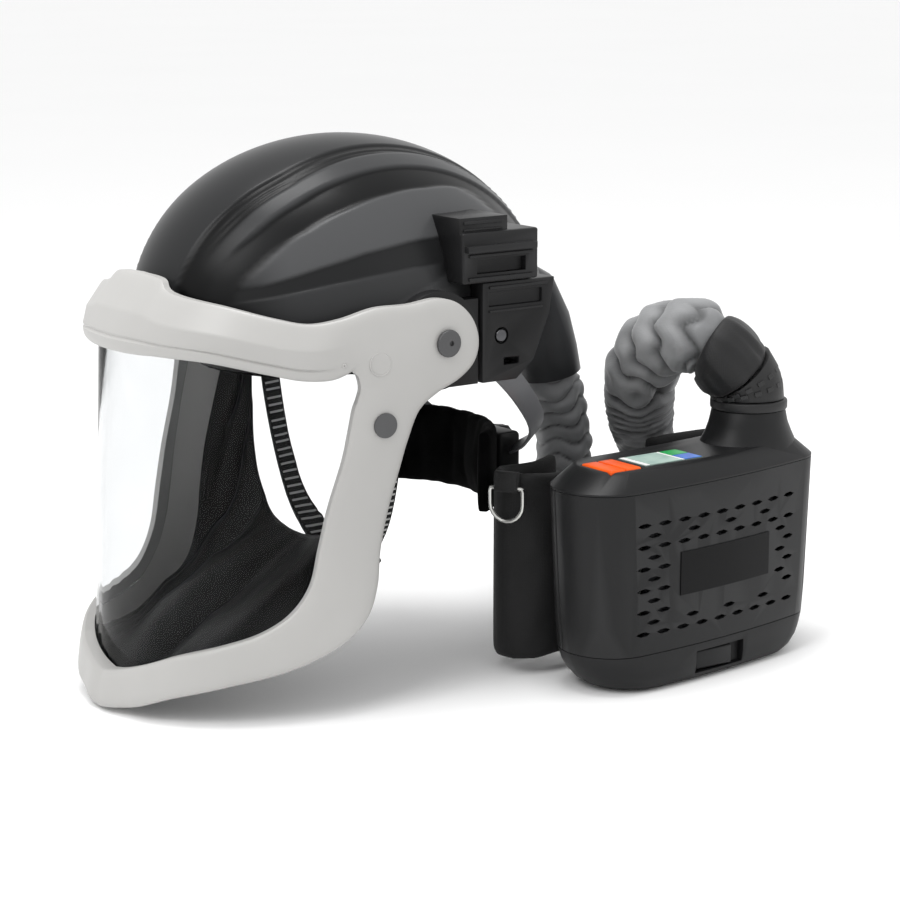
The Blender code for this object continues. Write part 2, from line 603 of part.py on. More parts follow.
def make_visor():
    rings = []
    for a, b, c, d in frame_edges():
        ring = []
        for t in FRAME_ROWS:
            share, z = a + (c - a) * t, b + (d - b) * t
            crown = VISOR_CROWN * (1 - (2 * t - 1) ** 4) + chin_flare(share, z)
            ring.append(on_visor(share, z, crown))
        for t in FRAME_ROWS[::-1]:
            share, z = a + (c - a) * t, b + (d - b) * t
            ring.append(on_visor(share, z, -VISOR_WALL))
        rings.append(ring)
    frame = add("visor_frame", loft(rings, loop=True), WHITE, 0.4, parent=visor_axis)
    for side, s in SIDES:
        cut(frame, f"pivot_hole_{side}",
            disc(PIVOT_BOLT_R + RUN, 0.03, (0, s * VISOR_B, PIVOT_Z), (0, s, 0), 28), visor_axis)
        plug = on_visor(0.806, 0.1834, 0.0, s)
        out = (on_visor(0.806, 0.1834, 0.01, s) - plug).normalized()
        cut(frame, f"plug_hole_{side}", disc(BUTTON_PLUG_R - 0.003, 0.02, plug, out, 20),
            visor_axis)
        cut(frame, f"plug_seat_{side}",
            disc(BUTTON_PLUG_R + GAP, 0.004, plug + out * 0.003, out, 28), visor_axis)
        add(f"frame_plug_{side}",
            disc(BUTTON_PLUG_R, 0.0018, plug + out * (0.001 + GAP + 0.0009), out, 28), GREY, 0.45,
            parent=visor_axis)

    lens = []
    gasket = []
    for a, b, c in lens_columns():
        lens.append([on_visor(a, b, -VISOR_WALL - LENS_GAP), on_visor(a, c, -VISOR_WALL - LENS_GAP),
                     on_visor(a, c, -VISOR_WALL - LENS_GAP - LENS_T),
                     on_visor(a, b, -VISOR_WALL - LENS_GAP - LENS_T)])
    add("visor_lens", loft(lens), (0.9, 0.93, 0.95), 0.05, alpha=0.2, parent=visor_axis)
    back = VISOR_WALL + 2 * LENS_GAP + LENS_T
    for share, z in gasket_line():
        gasket.append([on_visor(share, z - 0.002, -back), on_visor(share, z + 0.002, -back),
                       on_visor(share, z + 0.002, -back - 0.002),
                       on_visor(share, z - 0.002, -back - 0.002)])
    add("lens_gasket", loft(gasket), BLACK, 0.8, parent=visor_axis)


LENS_EDGES = ((0.000, 0.0190, 0.2330), (0.100, 0.0230, 0.2330), (0.190, 0.0300, 0.2330),
              (0.290, 0.0385, 0.2325), (0.386, 0.0445, 0.2310), (0.480, 0.0510, 0.2270),
              (0.560, 0.0600, 0.2230), (0.620, 0.0740, 0.2210), (0.655, 0.0950, 0.2210),
              (0.682, 0.1300, 0.2215), (0.712, 0.1600, 0.2215), (0.745, 0.1850, 0.2205),
              (0.765, 0.2030, 0.2150))


def lens_columns():
    """Share, lower and upper edge of the lens, from the left rear to the right rear."""
    scale = PIVOT_Z / 0.230
    left = smooth_rows([(share, low * scale, high * scale) for share, low, high in LENS_EDGES], 2)
    right = [(-share, low, high) for share, low, high in left[:0:-1]]
    return right + left


def gasket_line():
    """The brow seal's path along the lens's upper edge."""
    return [(share, high - 0.0035) for share, low, high in lens_columns() if abs(share) < 0.70]


# The seal's outer edge on the frame as share and height, then its inner edge at the wearer's
# face, from the helmet's datum, from the temple round to the chin.
SEAL_EDGES = (
    (0.900, 0.1865, -0.0145, 0.0960, 0.1855), (0.880, 0.172, -0.0160, 0.0920, 0.1730),
    (0.852, 0.152, -0.0190, 0.0870, 0.1580), (0.822, 0.130, -0.0220, 0.0810, 0.1430),
    (0.802, 0.105, -0.0250, 0.0740, 0.1300), (0.790, 0.084, -0.0280, 0.0660, 0.1190),
    (0.757, 0.064, -0.0310, 0.0565, 0.1100), (0.680, 0.050, -0.0340, 0.0460, 0.1030),
    (0.550, 0.038, -0.0365, 0.0350, 0.0985), (0.400, 0.030, -0.0380, 0.0250, 0.0960),
    (0.250, 0.022, -0.0390, 0.0150, 0.0945), (0.125, 0.014, -0.0395, 0.0070, 0.0940),
    (0.000, 0.011, -0.0395, 0.0000, 0.0940),
)


def make_face_seal():
    """The fabric funnel inside the frame: outer edge on the frame, inner edge round the face."""
    scale = PIVOT_Z / 0.230
    left = [(share, z * scale, x, -y, high * scale) for share, z, x, y, high in SEAL_EDGES]
    right = [(-share, z, x, -y, high) for share, z, x, y, high in left[-2::-1]]
    whole = smooth_rows(left + right, 2)
    outer = [on_visor(share, z, -VISOR_WALL - 0.0055) for share, z, x, y, high in whole]
    inner = [Vector((x, y, high)) for share, z, x, y, high in whole]
    rings = []
    for i, (near, far) in enumerate(zip(outer, inner)):
        ahead, behind = min(i + 1, len(outer) - 1), max(i - 1, 0)
        edge = (outer[ahead] + inner[ahead] - outer[behind] - inner[behind]).normalized()
        thick = edge.cross(far - near).normalized() * SEAL_T / 2
        rings.append([near + thick, far + thick, far - thick, near - thick])
    add("face_seal", loft(rings), BLACK, 0.95, parent=visor_axis)


# ---- blower ----------------------------------------------------------------------------------
def side_inset(z):
    """How far the ends draw in below the shoulder."""
    taper = 0.0085 * (1 - min(z, SHOULDER_Z) / SHOULDER_Z) ** 1.3
    corner = 0.034
    if z < corner:
        taper += 0.026 * (1 - math.sqrt(1 - ((corner - z) / corner) ** 2))
    return taper


def face_inset(z):
    """How far the front and back round off above the floor."""
    corner = 0.012
    if z >= corner:
        return 0.0
    return 0.008 * (1 - math.sqrt(1 - ((corner - z) / corner) ** 2))


def body_ring(z, shrink=0.0, steps=6):
    half_x = BLOWER_LENGTH / 2 - side_inset(z) - shrink
    half_y = BLOWER_DEPTH / 2 - face_inset(z) - shrink
    left = min(LEFT_CORNER, half_y - 0.0005) - shrink * 0.5
    return rounded(-half_x, half_x + RIGHT_REACH, BLOWER_Y - half_y, BLOWER_Y + half_y, z, left,
                   RIGHT_CORNER - shrink * 0.5, steps)


def body(levels, shrink=0.0):
    return loft([body_ring(z, shrink) for z in levels])


def make_battery():
    top = SEAM_Z - GAP / 2
    battery = add("battery_pack", body((0.0, 0.002, 0.006, 0.012, 0.018, top)), CHARCOAL, 0.5)
    low = BLOWER_Y - BLOWER_DEPTH / 2 + bend(0.005)
    cut(battery, "latch_recess", box((-0.0170, low - 0.010, 0.0055), (0.0275, low + 0.0085, 0.0205)))
    latch = box((-0.0145, low + 0.0020, 0.0065), (0.0170, low + 0.0078, 0.0195), 0.0012)
    add("battery_latch", latch, CHARCOAL, 0.55)


def half_space(front):
    """Everything in front of, or behind, the split between the two housing halves."""
    x = 0.3
    if front:
        return bent_plate(-x / 2, x / 2, SPLIT_Y - GAP / 2, 0.12, -0.01, 0.2, 24)
    return bent_plate(-x / 2, x / 2, -0.12, SPLIT_Y + GAP / 2, -0.01, 0.2, 24)


def louvre_centres():
    """Rows of slots, with every second row set between the columns, and none behind the label."""
    for row in range(2 * LOUVRE_ROWS - 1):
        half = row % 2
        z = LOUVRE_Z0 + row * LOUVRE_PITCH_Z / 2
        for column in range(LOUVRE_COLUMNS - half):
            x = LOUVRE_X0 + (column + half / 2) * LOUVRE_PITCH_X
            beside = LABEL_X0 - 0.008 < x < LABEL_X1 + 0.008
            inside = beside and LABEL_Z0 - 0.006 < z < LABEL_Z1 + 0.006
            sparse = half and row in (1, 2 * LOUVRE_ROWS - 3) and column % 2
            if not inside and not sparse:
                yield x, z


def slot_prism(x, z, y0, y1):
    """A leaf-shaped slot that runs through the wall."""
    half_x, half_z = LOUVRE_HALF_X, LOUVRE_HALF_Z
    outline = [(-half_x, 0), (-half_x * 0.3, -half_z), (half_x * 0.55, -half_z * 0.8), (half_x, 0),
               (half_x * 0.3, half_z), (-half_x * 0.55, half_z * 0.8)]
    return [[(x + dx, y, z + dz) for dx, dz in outline] for y in (y0, y1)]


def make_housing():
    low, high = SEAM_Z + GAP / 2, SHOULDER_Z - GAP / 2
    levels = (low, 0.045, 0.070, 0.100, high)
    inner = [body_ring(z, WALL) for z in (low + WALL, 0.045, 0.070, 0.100, high)]
    inner.append([(x, y, SHOULDER_Z + 0.01) for x, y, z in inner[-1]])
    cover = add("filter_cover", body(levels), CHARCOAL, 0.5)
    cut(cover, "inside", loft(inner))
    cut(cover, "rear_half", half_space(True))
    bm = bmesh.new()
    for x, z in louvre_centres():
        front = BLOWER_Y - BLOWER_DEPTH / 2 + bend(x)
        rows = [[bm.verts.new(p) for p in ring] for ring in
                slot_prism(x, z, front - 0.004, front + WALL + 0.003)]
        for i in range(6):
            j = (i + 1) % 6
            bm.faces.new((rows[0][i], rows[0][j], rows[1][j], rows[1][i]))
        bm.faces.new(rows[0])
        bm.faces.new(rows[1])
    cut(cover, "louvres", bm)

    rear = add("rear_housing", body(levels), CHARCOAL, 0.5)
    cut(rear, "inside", loft([[tuple(p) for p in ring] for ring in inner]))
    cut(rear, "front_half", half_space(False))


def console_ring(z, left, right, front, back, corner_left, corner_right):
    return rounded(left, right, front, back, z, corner_left, corner_right, 6)


def make_console():
    """The top cover with its control panel and the outlet neck."""
    left, right = -BLOWER_LENGTH / 2, BLOWER_LENGTH / 2 + RIGHT_REACH
    front, back = BLOWER_Y - BLOWER_DEPTH / 2, BLOWER_Y + BLOWER_DEPTH / 2
    low = SHOULDER_Z + GAP / 2

    def rings(shrink, top):
        s = shrink
        return [
            console_ring(low - (0.01 if s else 0), left + s, right - s, front + s, back - s,
                         LEFT_CORNER - s, RIGHT_CORNER - s),
            console_ring(low + 0.0012, left + s, right - s, front + s, back - s,
                         LEFT_CORNER - s, RIGHT_CORNER - s),
            console_ring(CONSOLE_Z - 0.0015 - s, left + 0.020 + s, right - 0.010 - s,
                         front + 0.0095 + s, back - 0.001 - s, 0.022 - s, 0.016 - s),
            console_ring(top, left + 0.0225 + s, right - 0.012 - s, front + 0.0115 + s,
                         back - 0.0025 - s, 0.020 - s, 0.014 - s)]

    console = add("top_console", loft(rings(0.0, CONSOLE_Z)), CHARCOAL, 0.5)
    neck = []
    for z, wider, deeper, shift in ((SHOULDER_Z + 0.004, 0.0130, 0.0048, -0.002),
                                    (CONSOLE_Z, 0.0100, 0.0030, -0.0005),
                                    (0.1490, 0.0064, 0.0019, 0.0), (0.1560, 0.0027, 0.0009, 0.0),
                                    (NECK_TOP, 0.0, 0.0, 0.0)):
        neck.append([(NECK_X + shift + (NECK_R + wider) * math.cos(a),
                      NECK_Y + (NECK_R + deeper) * math.sin(a), z)
                     for a in (2 * math.pi * k / 32 for k in range(32))])
    join(console, "neck", loft(neck))
    cut(console, "inside", loft(rings(WALL, CONSOLE_Z - WALL)))
    cut(console, "bore", disc(NECK_BORE, 0.060, (NECK_X, NECK_Y, 0.150), (0, 0, 1), 32))
    cut(console, "button_well", control_box(BUTTONS[0][1], BUTTONS[1][2], 0.0, 0.02))
    cut(console, "window_well", box((WINDOW[0] - GAP, WINDOW[2] - GAP, CONSOLE_Z - 0.0012),
                                    (WINDOW[1] + GAP, WINDOW[3] + GAP, CONSOLE_Z + 0.01)))


def control_box(low, high, grow, depth):
    return box((low[0] - grow - RUN, low[1] - grow - RUN, CONSOLE_Z - depth),
               (high[0] + grow + RUN, high[1] + grow + RUN, CONSOLE_Z + 0.01))


def make_controls():
    top = CONSOLE_Z + 0.0010
    for name, low, high in BUTTONS:
        add(name, box((low[0], low[1], top - BUTTON_T), (high[0] - 0.0003, high[1], top), 0.0009),
            ORANGE, 0.45)
    add("display_window", box((WINDOW[0], WINDOW[2], CONSOLE_Z - 0.0012 + GAP),
                              (WINDOW[1], WINDOW[3], CONSOLE_Z + 0.0002)), (0.35, 0.45, 0.4), 0.15)
    board_z = top - BUTTON_T - BUTTON_TRAVEL - 0.0010
    add("circuit_board", box((-0.0800, -0.0220, board_z - 0.0016), (0.0040, 0.0140, board_z)),
        (0.02, 0.12, 0.05), 0.5)


def make_fan():
    """Scroll, impeller and motor behind the filter, blowing up into the neck."""
    y0, y1 = SPLIT_Y + bend(FAN_X) + 0.0010, 0.0255
    along = (0, 1, 0)
    scroll = add("fan_scroll", disc(FAN_R + 0.0060, y1 - y0, (FAN_X, (y0 + y1) / 2, FAN_Z), along,
                                    40), CHARCOAL, 0.6)
    join(scroll, "outlet", box((FAN_X + 0.018, y0 + 0.0005, FAN_Z),
                               (FAN_X + FAN_R + 0.0055, y1 - 0.0005, SHOULDER_Z - 0.006)))
    cut(scroll, "chamber", disc(FAN_R + 0.0040, y1 - y0 - 0.004, (FAN_X, (y0 + y1) / 2, FAN_Z),
                                along, 40))
    cut(scroll, "outlet_way", box((FAN_X + 0.020, y0 + 0.0025, FAN_Z),
                                  (FAN_X + FAN_R + 0.0035, y1 - 0.0025, SHOULDER_Z)))
    cut(scroll, "eye", disc(0.018, 0.010, (FAN_X, y0, FAN_Z), along, 32))
    cut(scroll, "motor_hole", disc(MOTOR_R + GAP, 0.010, (FAN_X, y1, FAN_Z), along, 32))

    hub_y = y0 + 0.0035
    ring = []
    for k in range(BLADES):
        for share, radius in ((0.0, FAN_R), (0.22, FAN_R), (0.34, 0.017), (0.88, 0.017)):
            angle = 2 * math.pi * (k + share) / BLADES
            ring.append((FAN_X + radius * math.cos(angle), FAN_Z + radius * math.sin(angle)))
    centre = (FAN_X, hub_y, FAN_Z)
    bm = loft([[(x, y, z) for x, z in ring] for y in (hub_y, hub_y + 0.009)])
    impeller = add("impeller", bm, GREY, 0.5, about=centre)
    join(impeller, "back_plate",
         disc(FAN_R, 0.0016, (FAN_X, hub_y + 0.0090, FAN_Z), along, 40))
    cut(impeller, "shaft_bore", disc(SHAFT_R + 0.0004, 0.04, (FAN_X, hub_y, FAN_Z), along, 16))
    cut(impeller, "eye_bowl", disc(0.0125, 0.010, (FAN_X, hub_y, FAN_Z), along, 24))

    motor_y = hub_y + 0.0090 + 0.0008 + RUN
    motor_end = y1 - 0.0002
    motor = add("motor", disc(MOTOR_R, motor_end - motor_y,
                              (FAN_X, (motor_y + motor_end) / 2, FAN_Z), along, 28), STEEL,
                0.4, 0.8)
    join(motor, "shaft", disc(SHAFT_R, 0.0120, (FAN_X, motor_y - 0.0040, FAN_Z), along, 16))


def make_filters():
    """A pleated particle filter with a foam pre-filter in front of it."""
    front = BLOWER_Y - BLOWER_DEPTH / 2 + WALL
    x0, x1, z0, z1 = FILTER_X0, FILTER_X1, FILTER_Z0, FILTER_Z1
    top, bottom = [], []
    for k in range(2 * PLEATS + 1):
        x = x0 + (x1 - x0) * k / (2 * PLEATS)
        y = front + 0.0085 + bend(x) + (PLEAT_DEPTH if k % 2 else 0.0)
        top.append((x, y))
        bottom.append((x, y + PAPER_T))
    ring = top + bottom[::-1]
    add("particle_filter", loft([[(x, y, z) for x, y in ring] for z in (z0, z1)]),
        (0.80, 0.80, 0.78), 0.9)
    add("pre_filter", bent_plate(x0, x1, front + 0.0030, front + 0.0075, z0, z1, 10),
        (0.15, 0.16, 0.18), 0.95)


def make_outlet():
    """Bayonet ring on the neck, and the elbow that the hose is clamped to."""
    z0 = NECK_TOP + RUN
    ring = [(NECK_BORE, 0.0), (NECK_R + 0.0012, 0.0), (NECK_R + 0.0012, 0.0056),
            (NECK_R - 0.0004, 0.0062), (NECK_BORE, 0.0062)]
    add("hose_lock_ring", turned(ring, (NECK_X, NECK_Y, z0)), BLACK, 0.5,
        about=(NECK_X, NECK_Y, z0))
    start = Vector((NECK_X, NECK_Y, z0 + 0.0062 + RUN))
    rings_out, rings_in = [], []
    for k in range(5):
        t = k / 4
        lean = Vector((0, 0, 1)).lerp(ELBOW_AXIS, t ** 0.9).normalized()
        bow = start.lerp(ELBOW_END, t) + Vector((0.0012, -0.0006, 0.0)) * math.sin(math.pi * t)
        side = lean.cross(Vector((0, 1, 0))).normalized()
        other = side.cross(lean).normalized()
        for rings, radius in ((rings_out, NECK_R - 0.0010), (rings_in, NECK_BORE)):
            rings.append([bow + side * radius * math.cos(a) + other * radius * math.sin(a)
                          for a in (2 * math.pi * i / 28 for i in range(28))])
    add("hose_elbow", loft(rings_out + rings_in[::-1], loop=True), BLACK, 0.5)


def make_screws():
    """Three screws through the back of the rear housing."""
    for index, (x, z) in enumerate(((-0.080, 0.120), (0.080, 0.120), (0.002, 0.038)), start=1):
        y = BLOWER_Y + BLOWER_DEPTH / 2 + bend(x)
        out = Vector((-2 * BEND * (x - BEND_FROM), 1.0, 0.0)).normalized()
        add(f"housing_screw_{index}", disc(0.0032, 0.0016, Vector((x, y, z)) + out * 0.0015, out,
                                           16), STEEL, 0.35, 0.9)


# ---- belt ------------------------------------------------------------------------------------
def belt_front(x):
    return Vector((x, BELT_FRONT + bend(x), 0.0))


def belt_back(x):
    t = (x - BELT_LEFT) / (BELT_RIGHT - BELT_LEFT)
    return Vector((x, BACK_LEFT + (BACK_RIGHT - BACK_LEFT) * t, 0.0))


def belt_fold(x):
    """Centre and radius of the fold at one end of the belt."""
    near, far = belt_front(x), belt_back(x)
    return (near + far) / 2, (far.y - near.y) / 2


def belt_line(inward, gap_left, gap_right, steps=8):
    """The belt in plan, from the right of the gap in its back run round the front to its left."""
    def run(line, x0, x1, offset, count):
        return [line(x0 + (x1 - x0) * k / count) + offset for k in range(count + 1)]

    def fold(x, first):
        centre, radius = belt_fold(x)
        turn = [first - math.pi * k / steps for k in range(1, steps)]
        return [centre + Vector((math.cos(a), math.sin(a), 0)) * (radius - inward) for a in turn]

    step = Vector((0, inward, 0))
    return (run(belt_back, gap_right, BELT_RIGHT, -step, 4) + fold(BELT_RIGHT, math.pi / 2)
            + run(belt_front, BELT_RIGHT, BELT_LEFT, step, 14) + fold(BELT_LEFT, -math.pi / 2)
            + run(belt_back, BELT_LEFT, gap_left, -step, 4))


def at_height(line, z):
    return [(p.x, p.y, z) for p in line]


def make_belt():
    """Lumbar pad, webbing inside it, and the bracket that carries the blower."""
    pad = belt_line(0.0, BUCKLE_X0 - 0.014, BUCKLE_X1 + 0.014)
    middle, height = (PAD_BOTTOM + PAD_TOP) / 2, PAD_TOP - PAD_BOTTOM
    add("belt_pad", ribbon(at_height(pad, middle), (0, 0, 1), height, PAD_T), BLACK, 0.9)
    web = belt_line(PAD_T / 2 + WEB_T / 2 + GAP, BUCKLE_X0 - GAP, BUCKLE_X1 + GAP)
    add("belt_webbing", ribbon(at_height(web, WEB_Z), (0, 0, 1), WEB_WIDTH, WEB_T), BLACK, 0.85)

    back = BLOWER_Y + BLOWER_DEPTH / 2
    bracket = add("belt_bracket", bent_plate(-0.045, 0.050, back + GAP,
                                             BELT_FRONT - PAD_T / 2 - GAP, 0.050, 0.106), CHARCOAL,
                  0.5)
    cut(bracket, "tool_slot", box((-0.012, 0.0, 0.070), (0.016, 0.08, 0.084)))


def make_buckle():
    """Side-release buckle that joins the webbing's two ends: hollow socket and sliding tongue."""
    y = belt_back((BUCKLE_X0 + BUCKLE_X1) / 2).y - PAD_T / 2 - WEB_T / 2 - GAP
    half_z, half_y, wall = WEB_WIDTH / 2 + 0.005, 0.0055, 0.0018
    seam = BUCKLE_X0 + 0.032
    blade_z, blade_y = half_z - wall - RUN, half_y - wall - RUN
    socket = add("buckle_socket", box((BUCKLE_X0, y - half_y, WEB_Z - half_z),
                                      (seam, y + half_y, WEB_Z + half_z), 0.0014), BLACK, 0.45)
    cut(socket, "pocket", box((BUCKLE_X0 + 0.006, y - half_y + wall, WEB_Z - half_z + wall),
                              (seam + 0.01, y + half_y - wall, WEB_Z + half_z - wall)))
    cut(socket, "side_windows", box((BUCKLE_X0 + 0.010, y - 0.0030, WEB_Z - half_z - 0.01),
                                    (BUCKLE_X0 + 0.022, y + 0.0030, WEB_Z + half_z + 0.01)))
    start = seam + GAP
    tongue = add("buckle_tongue", box((start, y - half_y, WEB_Z - half_z),
                                      (BUCKLE_X1, y + half_y, WEB_Z + half_z), 0.0014), BLACK,
                 0.45)
    join(tongue, "blade", box((BUCKLE_X0 + 0.0075, y - blade_y, WEB_Z - blade_z),
                              (start + 0.002, y + blade_y, WEB_Z + blade_z)))
    for end in (-1, 1):
        z = sorted((WEB_Z + end * 0.009, WEB_Z + end * (blade_z - 0.006)))
        cut(tongue, f"prong_gap_{end + 1}", box((BUCKLE_X0 - 0.01, y - 0.02, z[0]),
                                                (start - 0.004, y + 0.02, z[1])))


def make_rings():
    """A D-ring on each fold of the belt, in a loop of webbing that stands against the pad."""
    for side, s, x in (("left", -1, BELT_LEFT), ("right", 1, BELT_RIGHT)):
        centre, radius = belt_fold(x)
        out = Vector((s * math.cos(RING_TURN), -math.sin(RING_TURN), 0.0))
        along = Vector((out.y, -out.x, 0.0))
        up = Vector((0, 0, 1))
        skin = centre + out * (radius + PAD_T / 2 + GAP)
        bar = skin + out * LOOP_T / 2 + up * RING_Z
        top = PAD_TOP - 0.002 - RING_Z
        half = LOOP_T / 2
        outline = [(-half, top), (-half, -half * 0.5), (-half * 0.5, -half), (half * 0.5, -half),
                   (half, -half * 0.5), (half, top - 0.003), (half * 0.4, top)]
        rings = [[bar + out * a + up * b + along * reach for a, b in outline]
                 for reach in (-LOOP_HALF_WIDTH, LOOP_HALF_WIDTH)]
        hanger = add(f"ring_loop_{side}", loft(rings), BLACK, 0.8)
        cut(hanger, "bar_way", disc(RING_WIRE + GAP, 0.04, bar, along, 16))

        wide, deep = RING_WIDTH / 2 - RING_WIRE, RING_DEPTH - 2 * RING_WIRE
        path = [(0.0, 0.0), (wide - 0.0020, 0.0), (wide - 0.0005, 0.0006), (wide, 0.0022)]
        path += [(wide * math.cos(a), deep - wide + wide * math.sin(a))
                 for a in (math.pi * k / 10 for k in range(11))]
        path += [(-a, b) for a, b in path[3:0:-1]]
        tube(f"d_ring_{side}", [bar + along * a - up * b for a, b in path], RING_WIRE, 2, STEEL,
             0.3, 0.9, cyclic=True, about=bar)


def tube(name, points, radius, resolution, colour, roughness, metallic, cyclic=False,
         about=(0.0, 0.0, 0.0)):
    """A round tube or wire along the points, as a curve with a bevel."""
    curve = bpy.data.curves.new(name, "CURVE")
    curve.dimensions = "3D"
    curve.bevel_depth = radius
    curve.bevel_resolution = resolution
    curve.use_fill_caps = True
    spline = curve.splines.new("POLY")
    spline.use_cyclic_u = cyclic
    spline.points.add(len(points) - 1)
    for target, point in zip(spline.points, points):
        target.co = (*(Vector(point) - Vector(about)), 1.0)
    thing = bpy.data.objects.new(name, curve)
    thing.location = about
    curve.materials.append(paint(name, colour, roughness, metallic, 1.0))
    parts.objects.link(thing)


def make_hose():
    """The hose, from the rear duct round behind the blower to the elbow."""
    tube("hose", smooth_path(HOSE_ROUTE, 2), HOSE_R, 3, (0.30, 0.31, 0.32), 0.9, 0.0)


parts_made = (make_shell, make_suspension, make_chin_strap, make_side_fittings, make_rear_duct,
              make_visor, make_face_seal, make_battery, make_housing, make_console, make_controls,
              make_fan, make_filters, make_outlet, make_screws, make_belt, make_buckle,
              make_rings, make_hose)
for make in parts_made:
    make()
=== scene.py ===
import json
import math

import bpy
from mathutils import Matrix, Vector, noise

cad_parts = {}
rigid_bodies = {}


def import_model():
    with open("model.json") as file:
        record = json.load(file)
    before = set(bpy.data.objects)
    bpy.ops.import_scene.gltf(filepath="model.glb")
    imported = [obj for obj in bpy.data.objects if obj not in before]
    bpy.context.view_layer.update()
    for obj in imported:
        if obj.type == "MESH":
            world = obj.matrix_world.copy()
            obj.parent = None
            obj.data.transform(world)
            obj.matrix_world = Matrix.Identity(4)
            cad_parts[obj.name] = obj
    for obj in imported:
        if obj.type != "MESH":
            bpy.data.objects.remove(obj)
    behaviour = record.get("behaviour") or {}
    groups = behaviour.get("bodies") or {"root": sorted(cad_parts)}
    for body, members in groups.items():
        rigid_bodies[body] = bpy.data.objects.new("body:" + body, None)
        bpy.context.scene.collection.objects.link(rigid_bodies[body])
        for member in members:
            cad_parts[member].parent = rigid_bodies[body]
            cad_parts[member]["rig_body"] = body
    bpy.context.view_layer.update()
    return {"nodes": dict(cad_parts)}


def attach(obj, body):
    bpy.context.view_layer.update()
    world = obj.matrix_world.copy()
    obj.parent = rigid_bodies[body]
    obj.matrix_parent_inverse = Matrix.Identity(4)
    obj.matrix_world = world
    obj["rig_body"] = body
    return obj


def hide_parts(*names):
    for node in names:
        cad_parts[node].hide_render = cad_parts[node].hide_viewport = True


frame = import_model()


# ---- The studio ------------------------------------------------------------------------------
# The respirator stands on a plain pale floor in front of a white surround. A broad soft light
# hangs up and to the left, a second one fills from the right, and the camera looks down slightly.
def aimed(thing, target):
    """Turns a camera or a lamp towards a point."""
    thing.rotation_euler = (Vector(target) - thing.location).to_track_quat("-Z", "Y").to_euler()


CAMERA_AT, CAMERA_TARGET = (-1.0964, -1.2501, 0.4977), (-0.1765, 0.016, 0.165)
LAMP_TARGET = (-0.08, 0.08, 0.15)
LAMPS = (("key_light", (-1.3, -0.3, 1.5), 0.8, 10.0),
         ("fill_light", (0.9, -1.5, 0.9), 1.0, 1.5),
         ("top_light", (-0.2, 0.1, 1.8), 0.7, 15.0))
bpy.ops.object.select_all(action="DESELECT")
bpy.ops.object.camera_add(location=CAMERA_AT)
camera = bpy.context.active_object
camera.data.lens, camera.data.sensor_width = 103.68, 36.0
aimed(camera, CAMERA_TARGET)
bpy.context.scene.camera = camera
bpy.context.scene.view_settings.view_transform = "Standard"

floor_paint = bpy.data.materials.new("studio_floor")
floor_paint.use_nodes = True
nodes, links = floor_paint.node_tree.nodes, floor_paint.node_tree.links
shader = nodes["Principled BSDF"]
shader.inputs["Roughness"].default_value = 0.75
coordinates, mottle = nodes.new("ShaderNodeTexCoord"), nodes.new("ShaderNodeTexNoise")
tone = nodes.new("ShaderNodeValToRGB")
mottle.inputs["Scale"].default_value = 1.5
tone.color_ramp.elements[0].color = (0.93, 0.93, 0.93, 1)
tone.color_ramp.elements[1].color = (0.95, 0.95, 0.95, 1)
links.new(coordinates.outputs["Object"], mottle.inputs["Vector"])
links.new(mottle.outputs["Fac"], tone.inputs["Fac"])
links.new(tone.outputs["Color"], shader.inputs["Base Color"])
bpy.ops.mesh.primitive_plane_add(size=30.0, location=(0, 0, -0.0002))
floor = bpy.context.active_object
floor.name = "studio_floor"
floor.data.materials.append(floor_paint)

surround = bpy.data.worlds.new("studio_white")
surround.use_nodes = True
surround.node_tree.nodes["Background"].inputs["Color"].default_value = (1.0, 1.0, 1.0, 1)
surround.node_tree.nodes["Background"].inputs["Strength"].default_value = 1.0
bpy.context.scene.world = surround

for name, place, size, watts in LAMPS:
    bpy.ops.object.light_add(type="AREA", location=place)
    lamp = bpy.context.active_object
    lamp.name = name
    lamp.data.size, lamp.data.energy = size, watts
    aimed(lamp, LAMP_TARGET)


# ---- Breathing hose --------------------------------------------------------------------------
# A limp tube of mid-grey coated fabric over a wire helix, gathered so that it puckers into rings.
# It leaves the duct behind the helmet, lies in a loop on the floor and arches into the elbow.
HOSE_ROUTE = (
    (0.0002, 0.1420, 0.1757), (0.0020, 0.1420, 0.1680), (0.0068, 0.1420, 0.1570),
    (0.0115, 0.1420, 0.1400), (0.0136, 0.1420, 0.1190), (0.0140, 0.1430, 0.0950),
    (0.0150, 0.1480, 0.0680), (0.0205, 0.1630, 0.0430), (0.0330, 0.1880, 0.0265),
    (0.0500, 0.2150, 0.0205), (0.0730, 0.2400, 0.0200), (0.1030, 0.2540, 0.0200),
    (0.1340, 0.2490, 0.0200), (0.1570, 0.2290, 0.0210), (0.1650, 0.2020, 0.0270),
    (0.1590, 0.1770, 0.0410), (0.1420, 0.1570, 0.0600), (0.1190, 0.1430, 0.0800),
    (0.0960, 0.1330, 0.0990), (0.0760, 0.1240, 0.1175), (0.0620, 0.1150, 0.1380),
    (0.0535, 0.1080, 0.1580), (0.0460, 0.0970, 0.1780), (0.0395, 0.0810, 0.1965),
    (0.0370, 0.0570, 0.2090), (0.0400, 0.0330, 0.2125), (0.0470, 0.0190, 0.2065),
    (0.0552, 0.0139, 0.1959), (0.0601, 0.0121, 0.1904),
)
HOSE_LENGTH, HOSE_WIDTH = 0.707, 0.042
HOSE_SIDES, HOSE_END_RADIUS = 56, 0.0178
HEM_POINTS, HEM_RADIUS = 34, 0.0206


